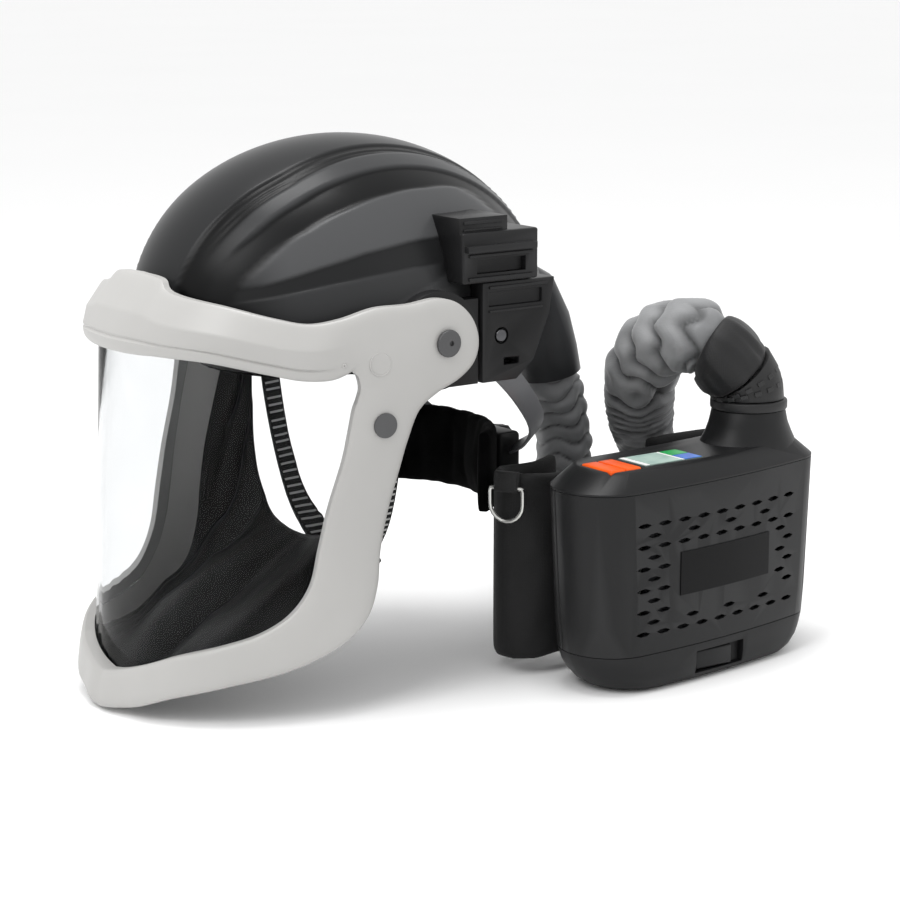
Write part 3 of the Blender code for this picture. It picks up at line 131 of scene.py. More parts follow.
def smooth_path(points, steps):
    """Points along the Catmull-Rom curve through the given ones."""
    pts = [Vector(p) for p in points]
    pts = [2 * pts[0] - pts[1]] + pts + [2 * pts[-1] - pts[-2]]
    path = []
    for a, b, c, d in zip(pts, pts[1:], pts[2:], pts[3:]):
        for k in range(steps):
            t = k / steps
            path.append(0.5 * (2 * b + (c - a) * t + (2 * a - 5 * b + 4 * c - d) * t * t
                               + (3 * b - a - 3 * c + d) * t ** 3))
    path.append(pts[-2])
    return path


def alone(piece):
    """Only this piece is selected, and it is the active one."""
    bpy.ops.object.select_all(action="DESELECT")
    piece.select_set(True)
    bpy.context.view_layer.objects.active = piece


def skin(name, rows, closed=False, around=True):
    """A mesh piece from rows of points: closed joins the last row to the first, around each row's ends."""
    count, size = len(rows), len(rows[0])
    points = [p for row in rows for p in row]
    faces = []
    for i in range(count if closed else count - 1):
        for j in range(size if around else size - 1):
            a, b = i * size + j, i * size + (j + 1) % size
            c, d = (i + 1) % count * size + (j + 1) % size, (i + 1) % count * size + j
            faces.append((a, b, c, d))
    if around and not closed:
        faces += [tuple(range(size))[::-1], tuple((count - 1) * size + j for j in range(size))]
    mesh = bpy.data.meshes.new(name)
    mesh.from_pydata([tuple(p) for p in points], [], faces)
    piece = bpy.data.objects.new(name, mesh)
    bpy.context.scene.collection.objects.link(piece)
    alone(piece)
    bpy.ops.object.mode_set(mode="EDIT")
    bpy.ops.mesh.select_all(action="SELECT")
    bpy.ops.mesh.normals_make_consistent(inside=False)
    bpy.ops.object.mode_set(mode="OBJECT")
    return piece


def ease(low, high, value):
    """Runs smoothly from 0 at low to 1 at high."""
    t = min(1.0, max(0.0, (value - low) / (high - low)))
    return t * t * (3 - 2 * t)


def material(name, dark, light, rough, cloud=14.0, grain=900.0, depth=0.12, metal=0.0, sheen=0.0,
             coat=0.0, wear=0.0, specular=0.5):
    """A finish with cloudy colour between dark and light, a fine grain, and paler worn edges.

    cloud and grain are the scales of the patches and the pits, and depth is how deep the pits are.
    """
    made = bpy.data.materials.new(name)
    made.use_nodes = True
    nodes, links = made.node_tree.nodes, made.node_tree.links
    shader = nodes["Principled BSDF"]
    shader.inputs["Metallic"].default_value = metal
    shader.inputs["Specular IOR Level"].default_value = specular
    shader.inputs["Coat Weight"].default_value = coat
    shader.inputs["Coat Roughness"].default_value = 0.25
    shader.inputs["Sheen Weight"].default_value = sheen
    shader.inputs["Sheen Roughness"].default_value = 0.4
    place = nodes.new("ShaderNodeTexCoord")
    patches = nodes.new("ShaderNodeTexNoise")
    patches.inputs["Scale"].default_value = cloud
    patches.inputs["Detail"].default_value = 5.0
    links.new(place.outputs["Object"], patches.inputs["Vector"])
    tone = nodes.new("ShaderNodeValToRGB")
    tone.color_ramp.elements[0].position, tone.color_ramp.elements[0].color = 0.36, (*dark, 1)
    tone.color_ramp.elements[1].position, tone.color_ramp.elements[1].color = 0.66, (*light, 1)
    links.new(patches.outputs["Fac"], tone.inputs["Fac"])
    colour = tone.outputs["Color"]
    if wear:
        edges = nodes.new("ShaderNodeNewGeometry")
        worn = nodes.new("ShaderNodeMapRange")
        worn.inputs["From Min"].default_value, worn.inputs["From Max"].default_value = 0.52, 0.60
        worn.inputs["To Max"].default_value = wear
        links.new(edges.outputs["Pointiness"], worn.inputs["Value"])
        pale = nodes.new("ShaderNodeMix")
        pale.data_type = "RGBA"
        pale.inputs[7].default_value = (*[min(1.0, c * 2.2 + 0.03) for c in light], 1)
        links.new(worn.outputs["Result"], pale.inputs["Factor"])
        links.new(colour, pale.inputs[6])
        colour = pale.outputs[2]
    links.new(colour, shader.inputs["Base Color"])
    shine = nodes.new("ShaderNodeMapRange")
    shine.inputs["To Min"].default_value, shine.inputs["To Max"].default_value = rough - 0.07, rough + 0.07
    links.new(patches.outputs["Fac"], shine.inputs["Value"])
    links.new(shine.outputs["Result"], shader.inputs["Roughness"])
    pits = nodes.new("ShaderNodeTexNoise")
    pits.inputs["Scale"].default_value = grain
    pits.inputs["Detail"].default_value = 2.0
    links.new(place.outputs["Object"], pits.inputs["Vector"])
    relief = nodes.new("ShaderNodeBump")
    relief.inputs["Strength"].default_value = depth
    relief.inputs["Distance"].default_value = 0.0004
    links.new(pits.outputs["Fac"], relief.inputs["Height"])
    links.new(relief.outputs["Normal"], shader.inputs["Normal"])
    return made


def cloth(name, dark, light, rough, pitch=0.0009, depth=0.5, sheen=0.3, directions=("X", "Z"), cloud=25.0,
          specular=0.3):
    """A woven finish: two sets of threads crossing, as raised as depth, over a cloudy colour."""
    made = material(name, dark, light, rough, cloud=cloud, sheen=sheen, grain=500.0, depth=0.2,
                    specular=specular)
    nodes, links = made.node_tree.nodes, made.node_tree.links
    place = nodes["Texture Coordinate"]
    relief = nodes["Bump"]
    crossing = nodes.new("ShaderNodeMath")
    crossing.operation = "MAXIMUM"
    for slot, direction in enumerate(directions):
        threads = nodes.new("ShaderNodeTexWave")
        threads.bands_direction = direction
        threads.inputs["Scale"].default_value = 0.314 / pitch
        threads.inputs["Distortion"].default_value = 0.6
        threads.inputs["Detail"].default_value = 1.0
        links.new(place.outputs["Object"], threads.inputs["Vector"])
        links.new(threads.outputs["Fac"], crossing.inputs[slot])
    both = nodes.new("ShaderNodeMath")
    links.new(crossing.outputs[0], both.inputs[0])
    links.new(nodes["Noise Texture.001"].outputs["Fac"], both.inputs[1])
    links.new(both.outputs[0], relief.inputs["Height"])
    relief.inputs["Strength"].default_value = depth
    relief.inputs["Distance"].default_value = 0.00025
    return made


hose_line = smooth_path(HOSE_ROUTE, 14)
rows = []
fold_valley_shade = []
run = 0.0
turn = Vector((0, 1, 0))
for i, point in enumerate(hose_line):
    ahead, behind = hose_line[min(i + 1, len(hose_line) - 1)], hose_line[max(i - 1, 0)]
    along = (ahead - behind).normalized()
    if i:
        run += (point - hose_line[i - 1]).length
    turn = (turn - along * turn.dot(along)).normalized()
    other = along.cross(turn)
    arch = ease(0.50, 0.60, run)
    pitch = 0.0118 + 0.0125 * arch
    row = []
    for k in range(HOSE_SIDES):
        angle = 2 * math.pi * k / HOSE_SIDES
        round_point = (math.cos(angle) * 1.3, math.sin(angle) * 1.3)
        drift = noise.noise(Vector((*round_point, run * 38.0)))
        skew = noise.noise(Vector((*round_point, run * 11.0 + 7.0)))
        pucker = abs(math.sin(math.pi * (run / pitch + 0.75 * skew))) ** (0.55 + 0.25 * arch)
        crease = noise.noise(Vector((math.cos(angle) * 2.6, math.sin(angle) * 2.6, run * 130.0)))
        body = 0.0170 + 0.0016 * arch
        radius = body + (0.0028 + 0.0042 * arch) * pucker
        radius += (0.0020 - 0.0008 * arch) * drift
        radius += 0.0009 * crease
        # painted shade: how far the hose's colour is darkened in the valleys between its puckers
        fold_valley_shade.append(max(0.0, 1 - pucker * 1.15 - 0.35 * max(0.0, drift)) ** 1.5)
        end = ease(0.0, 0.010, run) * (1 - ease(HOSE_LENGTH - 0.012, HOSE_LENGTH - 0.002, run))
        end *= 1 - ease(len(hose_line) - 40, len(hose_line) - 33, i)
        radius = HOSE_END_RADIUS * (1 - end) + radius * end
        row.append(point + (turn * math.cos(angle) + other * math.sin(angle)) * radius)
    rows.append(row)
hose = skin("breathing_hose", rows)
bpy.ops.object.shade_smooth()
hose.data.attributes.new("fold_valley_shade", "FLOAT", "POINT").data.foreach_set("value", fold_valley_shade)
hose_cloth = cloth("coated_hose_fabric", (0.165, 0.168, 0.172), (0.260, 0.264, 0.268), 0.50,
                   pitch=0.0010, depth=0.25, sheen=0.20, cloud=22.0)


def darken_by(finish, attribute, dark):
    """Darkens a finish towards a colour where the piece's own attribute is high, as painted shade."""
    nodes, links = finish.node_tree.nodes, finish.node_tree.links
    share = nodes.new("ShaderNodeAttribute")
    share.attribute_name = attribute
    blend = nodes.new("ShaderNodeMix")
    blend.data_type = "RGBA"
    blend.inputs[7].default_value = (*dark, 1)
    links.new(share.outputs["Fac"], blend.inputs["Factor"])
    links.new(nodes["Color Ramp"].outputs["Color"], blend.inputs[6])
    links.new(blend.outputs[2], nodes["Principled BSDF"].inputs["Base Color"])


# painted shade: the hose fabric is darkened nearly to black in its fold valleys
darken_by(hose_cloth, "fold_valley_shade", (0.030, 0.031, 0.032))
hose.data.materials.append(hose_cloth)
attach(hose, "root")
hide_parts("hose")
hem_line = hose_line[-HEM_POINTS:]
rows = []
for i, point in enumerate(hem_line):
    along = (hem_line[min(i + 1, HEM_POINTS - 1)] - hem_line[max(i - 1, 0)]).normalized()
    turn = (turn - along * turn.dot(along)).normalized()
    other = along.cross(turn)
    t = i / (HEM_POINTS - 1)
    row = []
    for k in range(HOSE_SIDES):
        angle = 2 * math.pi * k / HOSE_SIDES
        out = turn * math.cos(angle) + other * math.sin(angle)
        slack = max(0.0, out.dot(Vector((-0.75, -0.1, -0.65))))
        puff = 0.0006 * math.sin(angle * 9 + 3 * t) + 0.0004 * math.sin(angle * 17)
        swell = math.sin(math.pi * min(1.0, t * 1.05)) ** 0.5
        bulge = HEM_RADIUS + 0.0026 * swell + 0.0060 * slack ** 2 * swell + puff * swell
        row.append(point + out * bulge)
    rows.append(row)
hem = skin("hose_end_hem", rows)
bpy.ops.object.shade_smooth()
hem_fabric = cloth("black_hem_fabric", (0.0060, 0.0060, 0.0065), (0.0120, 0.0120, 0.0125), 0.55,
                   pitch=0.0010, depth=0.3, sheen=0.1)
hem.data.materials.append(hem_fabric)
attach(hem, "root")


# ---- Helmet shell ----------------------------------------------------------------------------
# A satin black bump-resistant shell, injection moulded in one piece. A broad ridge runs over the
# crown, and raised bands and a leaf-shaped panel on each side spread backwards from the brow.
HELMET = Vector((-0.1715, 0.142, 0.0))
SHELL_FRONT, SHELL_REAR, SHELL_HALF_WIDTH = 0.147, 0.146, 0.100
SHELL_BASE, SHELL_HEIGHT, SHELL_LEAN, SHELL_RIM_DROP = 0.235, 0.115, 0.006, 0.013
# how far out from the middle each band's edge lies, from the brow to the back of the shell
BAND_AT = (-0.150, -0.125, -0.100, -0.070, -0.040, -0.010, 0.020, 0.060, 0.110, 0.150)
BAND_EDGES = {
    "groove": (0.025, 0.028, 0.032, 0.0355, 0.0335, 0.031, 0.029, 0.026, 0.023, 0.020),
    "band_in": (0.034, 0.0385, 0.0435, 0.0460, 0.0440, 0.041, 0.038, 0.034, 0.030, 0.026),
    "band_out": (0.040, 0.0455, 0.0525, 0.0560, 0.0555, 0.0535, 0.051, 0.047, 0.041, 0.034),
    "panel_in": (0.046, 0.0550, 0.0635, 0.0690, 0.0705, 0.0690, 0.0655, 0.0560, 0.070, 0.080),
}
LOW_EDGES = {
    "panel_low": (0.026, 0.030, 0.034, 0.043, 0.0505, 0.0550, 0.0575, 0.0590, 0.0600, 0.0600),
    "band_low": (0.018, 0.022, 0.026, 0.032, 0.0365, 0.0400, 0.0410, 0.0410, 0.0400, 0.0400),
}
SOFT, SHELL_WALL = 0.0011, 0.003        # SOFT is half the width over which a band's edge rises


def past(edge, distance):
    """Runs softly from 0 to 1 where the distance passes a band's edge."""
    return ease(edge - SOFT, edge + SOFT, distance)


def along_table(table, x):
    """The value of a row of BAND_AT points at x."""
    x = min(max(x, BAND_AT[0]), BAND_AT[-1] - 1e-6)
    i = max(k for k, at in enumerate(BAND_AT) if at <= x)
    t = (x - BAND_AT[i]) / (BAND_AT[i + 1] - BAND_AT[i])
    return table[i] + (table[i + 1] - table[i]) * t


bpy.ops.mesh.primitive_uv_sphere_add(segments=600, ring_count=72, radius=1.0, rotation=(0, math.pi / 2, 0))
shell = bpy.context.active_object
shell.name = "ribbed_shell"
bpy.ops.object.transform_apply(location=True, rotation=True, scale=True)
bpy.ops.object.mode_set(mode="EDIT")
bpy.ops.mesh.select_all(action="DESELECT")
bpy.ops.object.mode_set(mode="OBJECT")
for vertex in shell.data.vertices:
    vertex.select = vertex.co.z < -0.001
bpy.ops.object.mode_set(mode="EDIT")
bpy.ops.mesh.delete(type="VERT")
bpy.ops.object.mode_set(mode="OBJECT")
# A grey is mixed into the black. On the leaf-shaped side panel it is the shell's own grey; on the crown
# ridge, the raised bands and the fine lines it is a painted highlight.
grey_and_highlight = shell.data.attributes.new("panel_grey_and_band_highlight", "FLOAT", "POINT")
shades = []
for vertex in shell.data.vertices:
    x, y, z = vertex.co
    x *= SHELL_FRONT if x < 0 else SHELL_REAR
    out = Vector((vertex.co.x / SHELL_FRONT, y / SHELL_HALF_WIDTH, z / SHELL_HEIGHT)).normalized()
    across, high = abs(y) * SHELL_HALF_WIDTH, z * SHELL_HEIGHT
    point = Vector((x - SHELL_LEAN * z, y * SHELL_HALF_WIDTH, high))
    at = point.x
    groove, band_in = along_table(BAND_EDGES["groove"], at), along_table(BAND_EDGES["band_in"], at)
    band_out, panel_in = along_table(BAND_EDGES["band_out"], at), along_table(BAND_EDGES["panel_in"], at)
    panel_low, band_low = along_table(LOW_EDGES["panel_low"], at), along_table(LOW_EDGES["band_low"], at)
    ridge = 1 - past(groove, across)
    line = math.exp(-((across - groove - 0.0052) / 0.0009) ** 2)
    line += 0.8 * math.exp(-((across - groove - 0.0082) / 0.0007) ** 2)
    line *= ease(-0.120, -0.095, at)
    band = past(band_in, across) * (1 - past(band_out, across))
    valley = past(band_out, across) * (1 - past(panel_in, across))
    front_fade = ease(-0.128, -0.085, at)
    tip = 1 - ease(0.070, 0.074, at + 0.9 * abs(high - 0.066) ** 1.4 * 8)
    side = past(panel_in, across)
    panel = side * past(panel_low, high) * tip
    stripe = side * (1 - past(panel_low, high)) * past(band_low, high)
    lower = side * (1 - ease(band_low - 0.0012, band_low + 0.0012, high)) * (1 - ease(0.004, 0.018, at))
    clear = 1 - ease(0.0, 0.012, at) * ease(0.075, 0.085, across)
    lift = 0.0012 * ridge + 0.0007 * line + 0.0009 * band * front_fade - 0.0008 * valley * front_fade
    low_lift = 0.0010 * panel * front_fade - 0.0006 * stripe * front_fade + 0.0007 * lower * front_fade
    lift += low_lift * clear
    seat = min(1.0, high / 0.012)
    vertex.co = HELMET + Vector((0, 0, SHELL_BASE)) + point + out * lift * seat
    shades.append(min(1.0, 0.30 * ridge + 0.12 * line + 0.62 * band * front_fade + 0.04 * valley
                      + 1.0 * panel * front_fade + 0.16 * stripe + 0.46 * lower * front_fade
                      + 0.30 * side * (1 - tip)))
grey_and_highlight.data.foreach_set("value", shades)
bpy.ops.object.mode_set(mode="EDIT")
bpy.ops.mesh.select_all(action="SELECT")
bpy.ops.mesh.region_to_loop()
bpy.ops.mesh.extrude_region_move(TRANSFORM_OT_translate={"value": (0, 0, -SHELL_RIM_DROP)})
bpy.ops.mesh.select_all(action="SELECT")
bpy.ops.mesh.remove_doubles(threshold=0.00002)
bpy.ops.mesh.normals_make_consistent(inside=False)
bpy.ops.object.mode_set(mode="OBJECT")
wall = shell.modifiers.new("wall", "SOLIDIFY")
wall.thickness, wall.offset = SHELL_WALL, -1.0
bpy.ops.object.modifier_apply(modifier="wall")
bpy.ops.object.shade_smooth_by_angle(angle=math.radians(50))
shell_black = material("satin_shell", (0.0020, 0.0021, 0.0023), (0.0034, 0.0035, 0.0038), 0.30, cloud=8.0,
                       grain=1400.0, depth=0.04, specular=0.14)
nodes, links = shell_black.node_tree.nodes, shell_black.node_tree.links
# the shell's own grey on the side panels, and a painted highlight on the ridge, bands and lines
panel_grey_and_band_highlight = nodes.new("ShaderNodeAttribute")
panel_grey_and_band_highlight.attribute_name = "panel_grey_and_band_highlight"
grey = nodes.new("ShaderNodeMix")
grey.data_type = "RGBA"
grey.inputs[7].default_value = (0.062, 0.063, 0.065, 1)
links.new(panel_grey_and_band_highlight.outputs["Fac"], grey.inputs["Factor"])
links.new(nodes["Color Ramp"].outputs["Color"], grey.inputs[6])
links.new(grey.outputs[2], nodes["Principled BSDF"].inputs["Base Color"])
shell.data.materials.append(shell_black)
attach(shell, "root")
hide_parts("helmet_shell")


# ---- Head harness ----------------------------------------------------------------------------
# A nylon headband hangs in the shell with two webbing straps over the crown and a flat air duct.
# The brow pad is a folded sweatband of brushed fabric, held on with hook tape.
def merged_copy(node, name):
    """A bare copy of a CAD piece with its triangles joined, left in edit mode."""
    alone(frame["nodes"][node])
    bpy.ops.object.duplicate()
    piece = bpy.context.active_object
    piece.parent, piece.name = None, name
    for key in list(piece.keys()):
        del piece[key]
    piece.data.materials.clear()
    bpy.ops.mesh.customdata_custom_splitnormals_clear()
    bpy.ops.object.mode_set(mode="EDIT")
    bpy.ops.mesh.select_all(action="SELECT")
    bpy.ops.mesh.remove_doubles(threshold=0.00001)
    return piece


def recast(node, finish, edge=0.0005, name=None, angle=35):
    """A copy of a CAD piece with its facets merged and its edges rounded, which stands for it."""
    body = frame["nodes"][node]["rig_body"]
    piece = merged_copy(node, name or f"{node}_moulded")
    bpy.ops.mesh.dissolve_limited(angle_limit=math.radians(1.5))
    bpy.ops.object.mode_set(mode="OBJECT")
    if edge:
        rounding = piece.modifiers.new("rounding", "BEVEL")
        rounding.width, rounding.segments = edge, 2
        rounding.limit_method, rounding.angle_limit = "ANGLE", math.radians(angle)
        bpy.ops.object.modifier_apply(modifier="rounding")
    bpy.ops.object.shade_smooth_by_angle(angle=math.radians(angle))
    piece.data.materials.append(finish)
    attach(piece, body)
    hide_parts(node)
    return piece


nylon = material("glass_filled_nylon", (0.0045, 0.0045, 0.0048), (0.0095, 0.0095, 0.0102), 0.40,
                 wear=0.30, specular=0.20)
webbing = cloth("crown_webbing", (0.010, 0.010, 0.011), (0.020, 0.020, 0.021), 0.8, pitch=0.0012,
                directions=("Y", "X"))
recast("headband", nylon, 0.0006)
recast("crown_strap_long", webbing, 0.0004)
recast("crown_strap_cross", webbing, 0.0004)
channel_grey = material("duct_channel_grey", (0.055, 0.055, 0.058), (0.085, 0.085, 0.09), 0.5)
recast("air_channel", channel_grey, 0.0008)
velvet = material("black_velvet", (0.0010, 0.0010, 0.0010), (0.0030, 0.0030, 0.0032), 0.95, cloud=60.0,
                  grain=2600.0, depth=0.6, sheen=0.02, specular=0.03)
STUFFING_STEPS, STUFFING_PRESSURE = 20, 4.0


def swollen(node, name, voxel, cap, finish, shrink=0.0):
    """A stuffed copy of a soft CAD piece: remeshed, blown up a little as cloth, and capped."""
    body = frame["nodes"][node]["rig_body"]
    piece = merged_copy(node, name)
    if shrink:
        bpy.ops.transform.shrink_fatten(value=-shrink)
    bpy.ops.object.mode_set(mode="OBJECT")
    fine = piece.modifiers.new("fine", "REMESH")
    fine.mode, fine.voxel_size = "VOXEL", voxel
    bpy.ops.object.modifier_apply(modifier="fine")
    before = [v.co.copy() for v in piece.data.vertices]
    stuffing = piece.modifiers.new("stuffing", "CLOTH")
    stuffing.settings.use_pressure = True
    stuffing.settings.uniform_pressure_force = STUFFING_PRESSURE
    stuffing.settings.effector_weights.gravity = 0.0
    stuffing.point_cache.frame_start, stuffing.point_cache.frame_end = 1, STUFFING_STEPS
    for step in range(1, STUFFING_STEPS + 1):
        bpy.context.scene.frame_set(step)
    bpy.ops.object.modifier_apply(modifier="stuffing")
    bpy.context.scene.frame_set(1)
    for vertex, start in zip(piece.data.vertices, before):
        move = vertex.co - start
        if move.length > cap:
            vertex.co = start + move.normalized() * cap
    ease_out = piece.modifiers.new("ease_out", "SMOOTH")
    ease_out.factor, ease_out.iterations = 0.5, 3
    bpy.ops.object.modifier_apply(modifier="ease_out")
    rounder = piece.modifiers.new("rounder", "SUBSURF")
    rounder.levels = rounder.render_levels = 1
    bpy.ops.object.modifier_apply(modifier="rounder")
    bpy.ops.object.shade_smooth()
    piece.data.materials.append(finish)
    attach(piece, body)
    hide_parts(node)
    return piece


swollen("brow_pad", "brow_sweatband", 0.0016, 0.001, velvet)


# ---- Nape band -------------------------------------------------------------------------------
# Two thin curved nylon straps carry a ratchet behind the neck, with a fluted knob on its back.
# A brushed velvet pad of soft foam wraps the band and rests on the wearer's neck.
strap_grey = material("flexible_strap_grey", (0.075, 0.077, 0.082), (0.115, 0.118, 0.124), 0.40, wear=0.2)
for side in ("left", "right"):
    recast(f"nape_strap_{side}", strap_grey, 0.0005)
recast("ratchet_housing", nylon, 0.0008)
recast("ratchet_knob", nylon, 0.0006)
swollen("nape_pad", "nape_velvet_pad", 0.004, 0.005, velvet, 0.0006)


# ---- Chin strap ------------------------------------------------------------------------------
# A ribbed elastic strap hangs from the headband on each side, woven with pale rungs that the
# buckle grips, and meets its twin at a soft moulded cup under the chin.
elastic = cloth("ribbed_elastic", (0.0030, 0.0030, 0.0032), (0.0070, 0.0070, 0.0075), 0.8, pitch=0.0010,
                directions=("Z", "X"), sheen=0.03)
rung_grey = material("pale_rung", (0.36, 0.36, 0.35), (0.47, 0.47, 0.46), 0.6)
RUNG_FIRST, RUNG_STEP, RUNG_OUT, RUNG_SIZE = 0.004, 0.0046, 0.0012, (0.0102, 0.0013, 0.0006, 1.0)


def joined(parts, name):
    """Makes one piece of several, with its place in its mesh."""
    bpy.ops.object.select_all(action="DESELECT")
    for part in parts:
        part.select_set(True)
    bpy.context.view_layer.objects.active = parts[0]
    bpy.ops.object.join()
    piece = bpy.context.active_object
    piece.name = name
    bpy.ops.object.transform_apply(location=True, rotation=True, scale=True)
    return piece


for side, s in (("left", -1), ("right", 1)):
    recast(f"chin_strap_{side}", elastic, 0.0004)
    line = smooth_path([HELMET + Vector(p) for p in (
        (-0.013, s * 0.0775, 0.2064), (-0.012, s * 0.0760, 0.180), (-0.010, s * 0.0680, 0.140),
        (-0.008, s * 0.0540, 0.104), (-0.006, s * 0.0330, 0.0765))], 40)
    run, due, rungs = 0.0, RUNG_FIRST, []
    for before, point, after in zip(line, line[1:], line[2:]):
        run += (point - before).length
        if run < due:
            continue
        due += RUNG_STEP
        along = (after - before).normalized()
        out = along.cross(Vector((1, 0, 0))).normalized()
        wide = out.cross(along)
        for face in (-1, 1):
            bpy.ops.mesh.primitive_cube_add(size=1.0)
            rung = bpy.context.active_object
            turn = Matrix((wide, along, out)).transposed().to_4x4()
            seat = Matrix.Translation(point + out * face * RUNG_OUT)
            rung.matrix_world = seat @ turn @ Matrix.Diagonal(RUNG_SIZE)
            rungs.append(rung)
    ladder = joined(rungs, f"chin_strap_rungs_{side}")
    ladder.data.materials.append(rung_grey)
    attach(ladder, "root")
cup_rubber = material("soft_cup_rubber", (0.010, 0.010, 0.010), (0.018, 0.018, 0.018), 0.7)
recast("chin_cup", cup_rubber, 0.0010)


# ---- Side fittings ---------------------------------------------------------------------------
# Glass-filled nylon plates bolt to the shell: the visor's pivot plate with its cap, a slotted
# bracket for ear muffs or a lamp, and the anchor plate that carries the nape strap's screw.
screw_steel = material("dark_plated_screw", (0.09, 0.09, 0.095), (0.16, 0.16, 0.165), 0.30, metal=1.0,
                       grain=2500.0, depth=0.2)
cap_grey = material("pivot_cap_grey", (0.048, 0.048, 0.050), (0.066, 0.066, 0.068), 0.45, grain=1800.0)
# rails on the bracket's face and ribs on the anchor plate: middle, then length, thickness and height
RAILS = ((0.0445, 0.1122, 0.2668, 0.050, 0.0022, 0.0022), (0.0445, 0.1122, 0.2815, 0.050, 0.0022, 0.0018),
         (0.0330, 0.1087, 0.3020, 0.030, 0.0020, 0.0020), (0.0330, 0.1087, 0.2975, 0.030, 0.0016, 0.0014),
         (0.0610, 0.1087, 0.2600, 0.046, 0.0016, 0.0018), (0.0590, 0.1087, 0.2450, 0.042, 0.0014, 0.0014))


def rounded(piece, width):
    """Rounds every corner of a small block."""
    corner = piece.modifiers.new("corner", "BEVEL")
    corner.width, corner.segments = width, 2
    bpy.ops.object.modifier_apply(modifier="corner")


for side, s in (("left", -1), ("right", 1)):
    recast(f"pivot_plate_{side}", nylon, 0.0008)
    recast(f"pivot_bolt_{side}", cap_grey, 0.0004)
    recast(f"accessory_bracket_{side}", nylon, 0.0007)
    recast(f"anchor_plate_{side}", nylon, 0.0008)
    recast(f"anchor_screw_{side}", screw_steel, 0.0003)
    for index, (x, y, z, long, thick, tall) in enumerate(RAILS):
        bpy.ops.mesh.primitive_cube_add(size=1.0, location=HELMET + Vector((x, s * y, z)))
        rail = bpy.context.active_object
        rail.name, rail.scale = f"bracket_rail_{side}_{index}", (long, thick, tall)
        bpy.ops.object.transform_apply(location=True, rotation=True, scale=True)
        rounded(rail, 0.0004)
        rail.data.materials.append(nylon)
        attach(rail, "root")


# ---- Rear duct -------------------------------------------------------------------------------
# A satin moulded horn clips to the back of the shell and takes the hose's end in its mouth. Its
# grey is a cloudy mix of two tones, with paler worn edges.
satin_duct = material("satin_duct", (0.012, 0.0124, 0.0132), (0.034, 0.035, 0.037), 0.40, wear=0.2,
                      specular=0.25)
recast("rear_duct", satin_duct, 0.0010, angle=45)


# ---- Visor frame -----------------------------------------------------------------------------
# One pale grey nylon moulding runs round the window: a brow with a blank raised tab, an arm to
# each pivot and a flared chin lip. A crease divides its bright upper bevel from its lower face.
PIVOT_Z = 0.230
VISOR_A, VISOR_B, VISOR_POWER, VISOR_WALL = 0.170, 0.115, 2.4, 0.006
FRAME_EDGES = (
    (0.000, 0.2735, 0.000, 0.2270), (0.110, 0.2720, 0.120, 0.2275), (0.165, 0.2650, 0.200, 0.2280),
    (0.343, 0.2590, 0.343, 0.2260), (0.489, 0.2520, 0.489, 0.2190), (0.587, 0.2480, 0.575, 0.2145),
    (0.673, 0.2500, 0.652, 0.2135), (0.772, 0.2555, 0.697, 0.2160), (0.880, 0.2560, 0.716, 0.2180),
    (0.973, 0.2580, 0.729, 0.2160), (1.040, 0.2540, 0.735, 0.2140), (1.092, 0.2430, 0.739, 0.2110),
    (1.113, 0.2290, 0.741, 0.2080), (1.098, 0.2160, 0.741, 0.2060), (1.048, 0.2065, 0.739, 0.2040),
    (0.978, 0.1995, 0.733, 0.2000), (0.918, 0.1900, 0.722, 0.1930), (0.883, 0.1730, 0.711, 0.1800),
    (0.857, 0.1550, 0.694, 0.1620), (0.823, 0.1300, 0.657, 0.1350), (0.801, 0.1050, 0.632, 0.1100),
    (0.793, 0.0820, 0.609, 0.0860), (0.763, 0.0620, 0.557, 0.0690), (0.686, 0.0460, 0.480, 0.0580),
    (0.557, 0.0340, 0.386, 0.0510), (0.407, 0.0260, 0.257, 0.0430), (0.257, 0.0170, 0.150, 0.0340),
    (0.129, 0.0070, 0.064, 0.0280), (0.000, 0.0015, 0.000, 0.0250),
)
CREASE_HEIGHT, FLARE = 0.0048, 0.0055       # FLARE is how far the chin lip turns out
HALF_PLAN_STEPS = 720
plan = []
length = 0.0
for k in range(HALF_PLAN_STEPS + 1):
    c, s = math.cos(math.pi * k / HALF_PLAN_STEPS), math.sin(math.pi * k / HALF_PLAN_STEPS)
    x, y = -VISOR_A * math.copysign(abs(c) ** (2 / VISOR_POWER), c), VISOR_B * abs(s) ** (2 / VISOR_POWER)
    if plan:
        length += math.hypot(x - plan[-1][0], y - plan[-1][1])
    plan.append((x, y, length))
QUARTER = plan[HALF_PLAN_STEPS // 2][2]


def on_visor(share, z, out, side=-1):
    """A point of the visor's wall: share 0 is the front middle and 1 the pivot, out is outward."""
    target = abs(share) * QUARTER
    i = next(k for k in range(1, len(plan)) if plan[k][2] >= target)
    (x0, y0, l0), (x1, y1, l1) = plan[i - 1], plan[i]
    t = (target - l0) / (l1 - l0)
    x, y = x0 + (x1 - x0) * t, y0 + (y1 - y0) * t
    tangent = Vector((x1 - x0, y1 - y0)).normalized()
    x, y = x - tangent.y * out, y + tangent.x * out
    if x < 0:
        x *= (1 - 2.8 * max(0.0, z - PIVOT_Z - 0.005)) * (1 + 0.32 * max(0.0, PIVOT_Z - 0.030 - z))
    return HELMET + Vector((x, (side if share >= 0 else -side) * y, z))


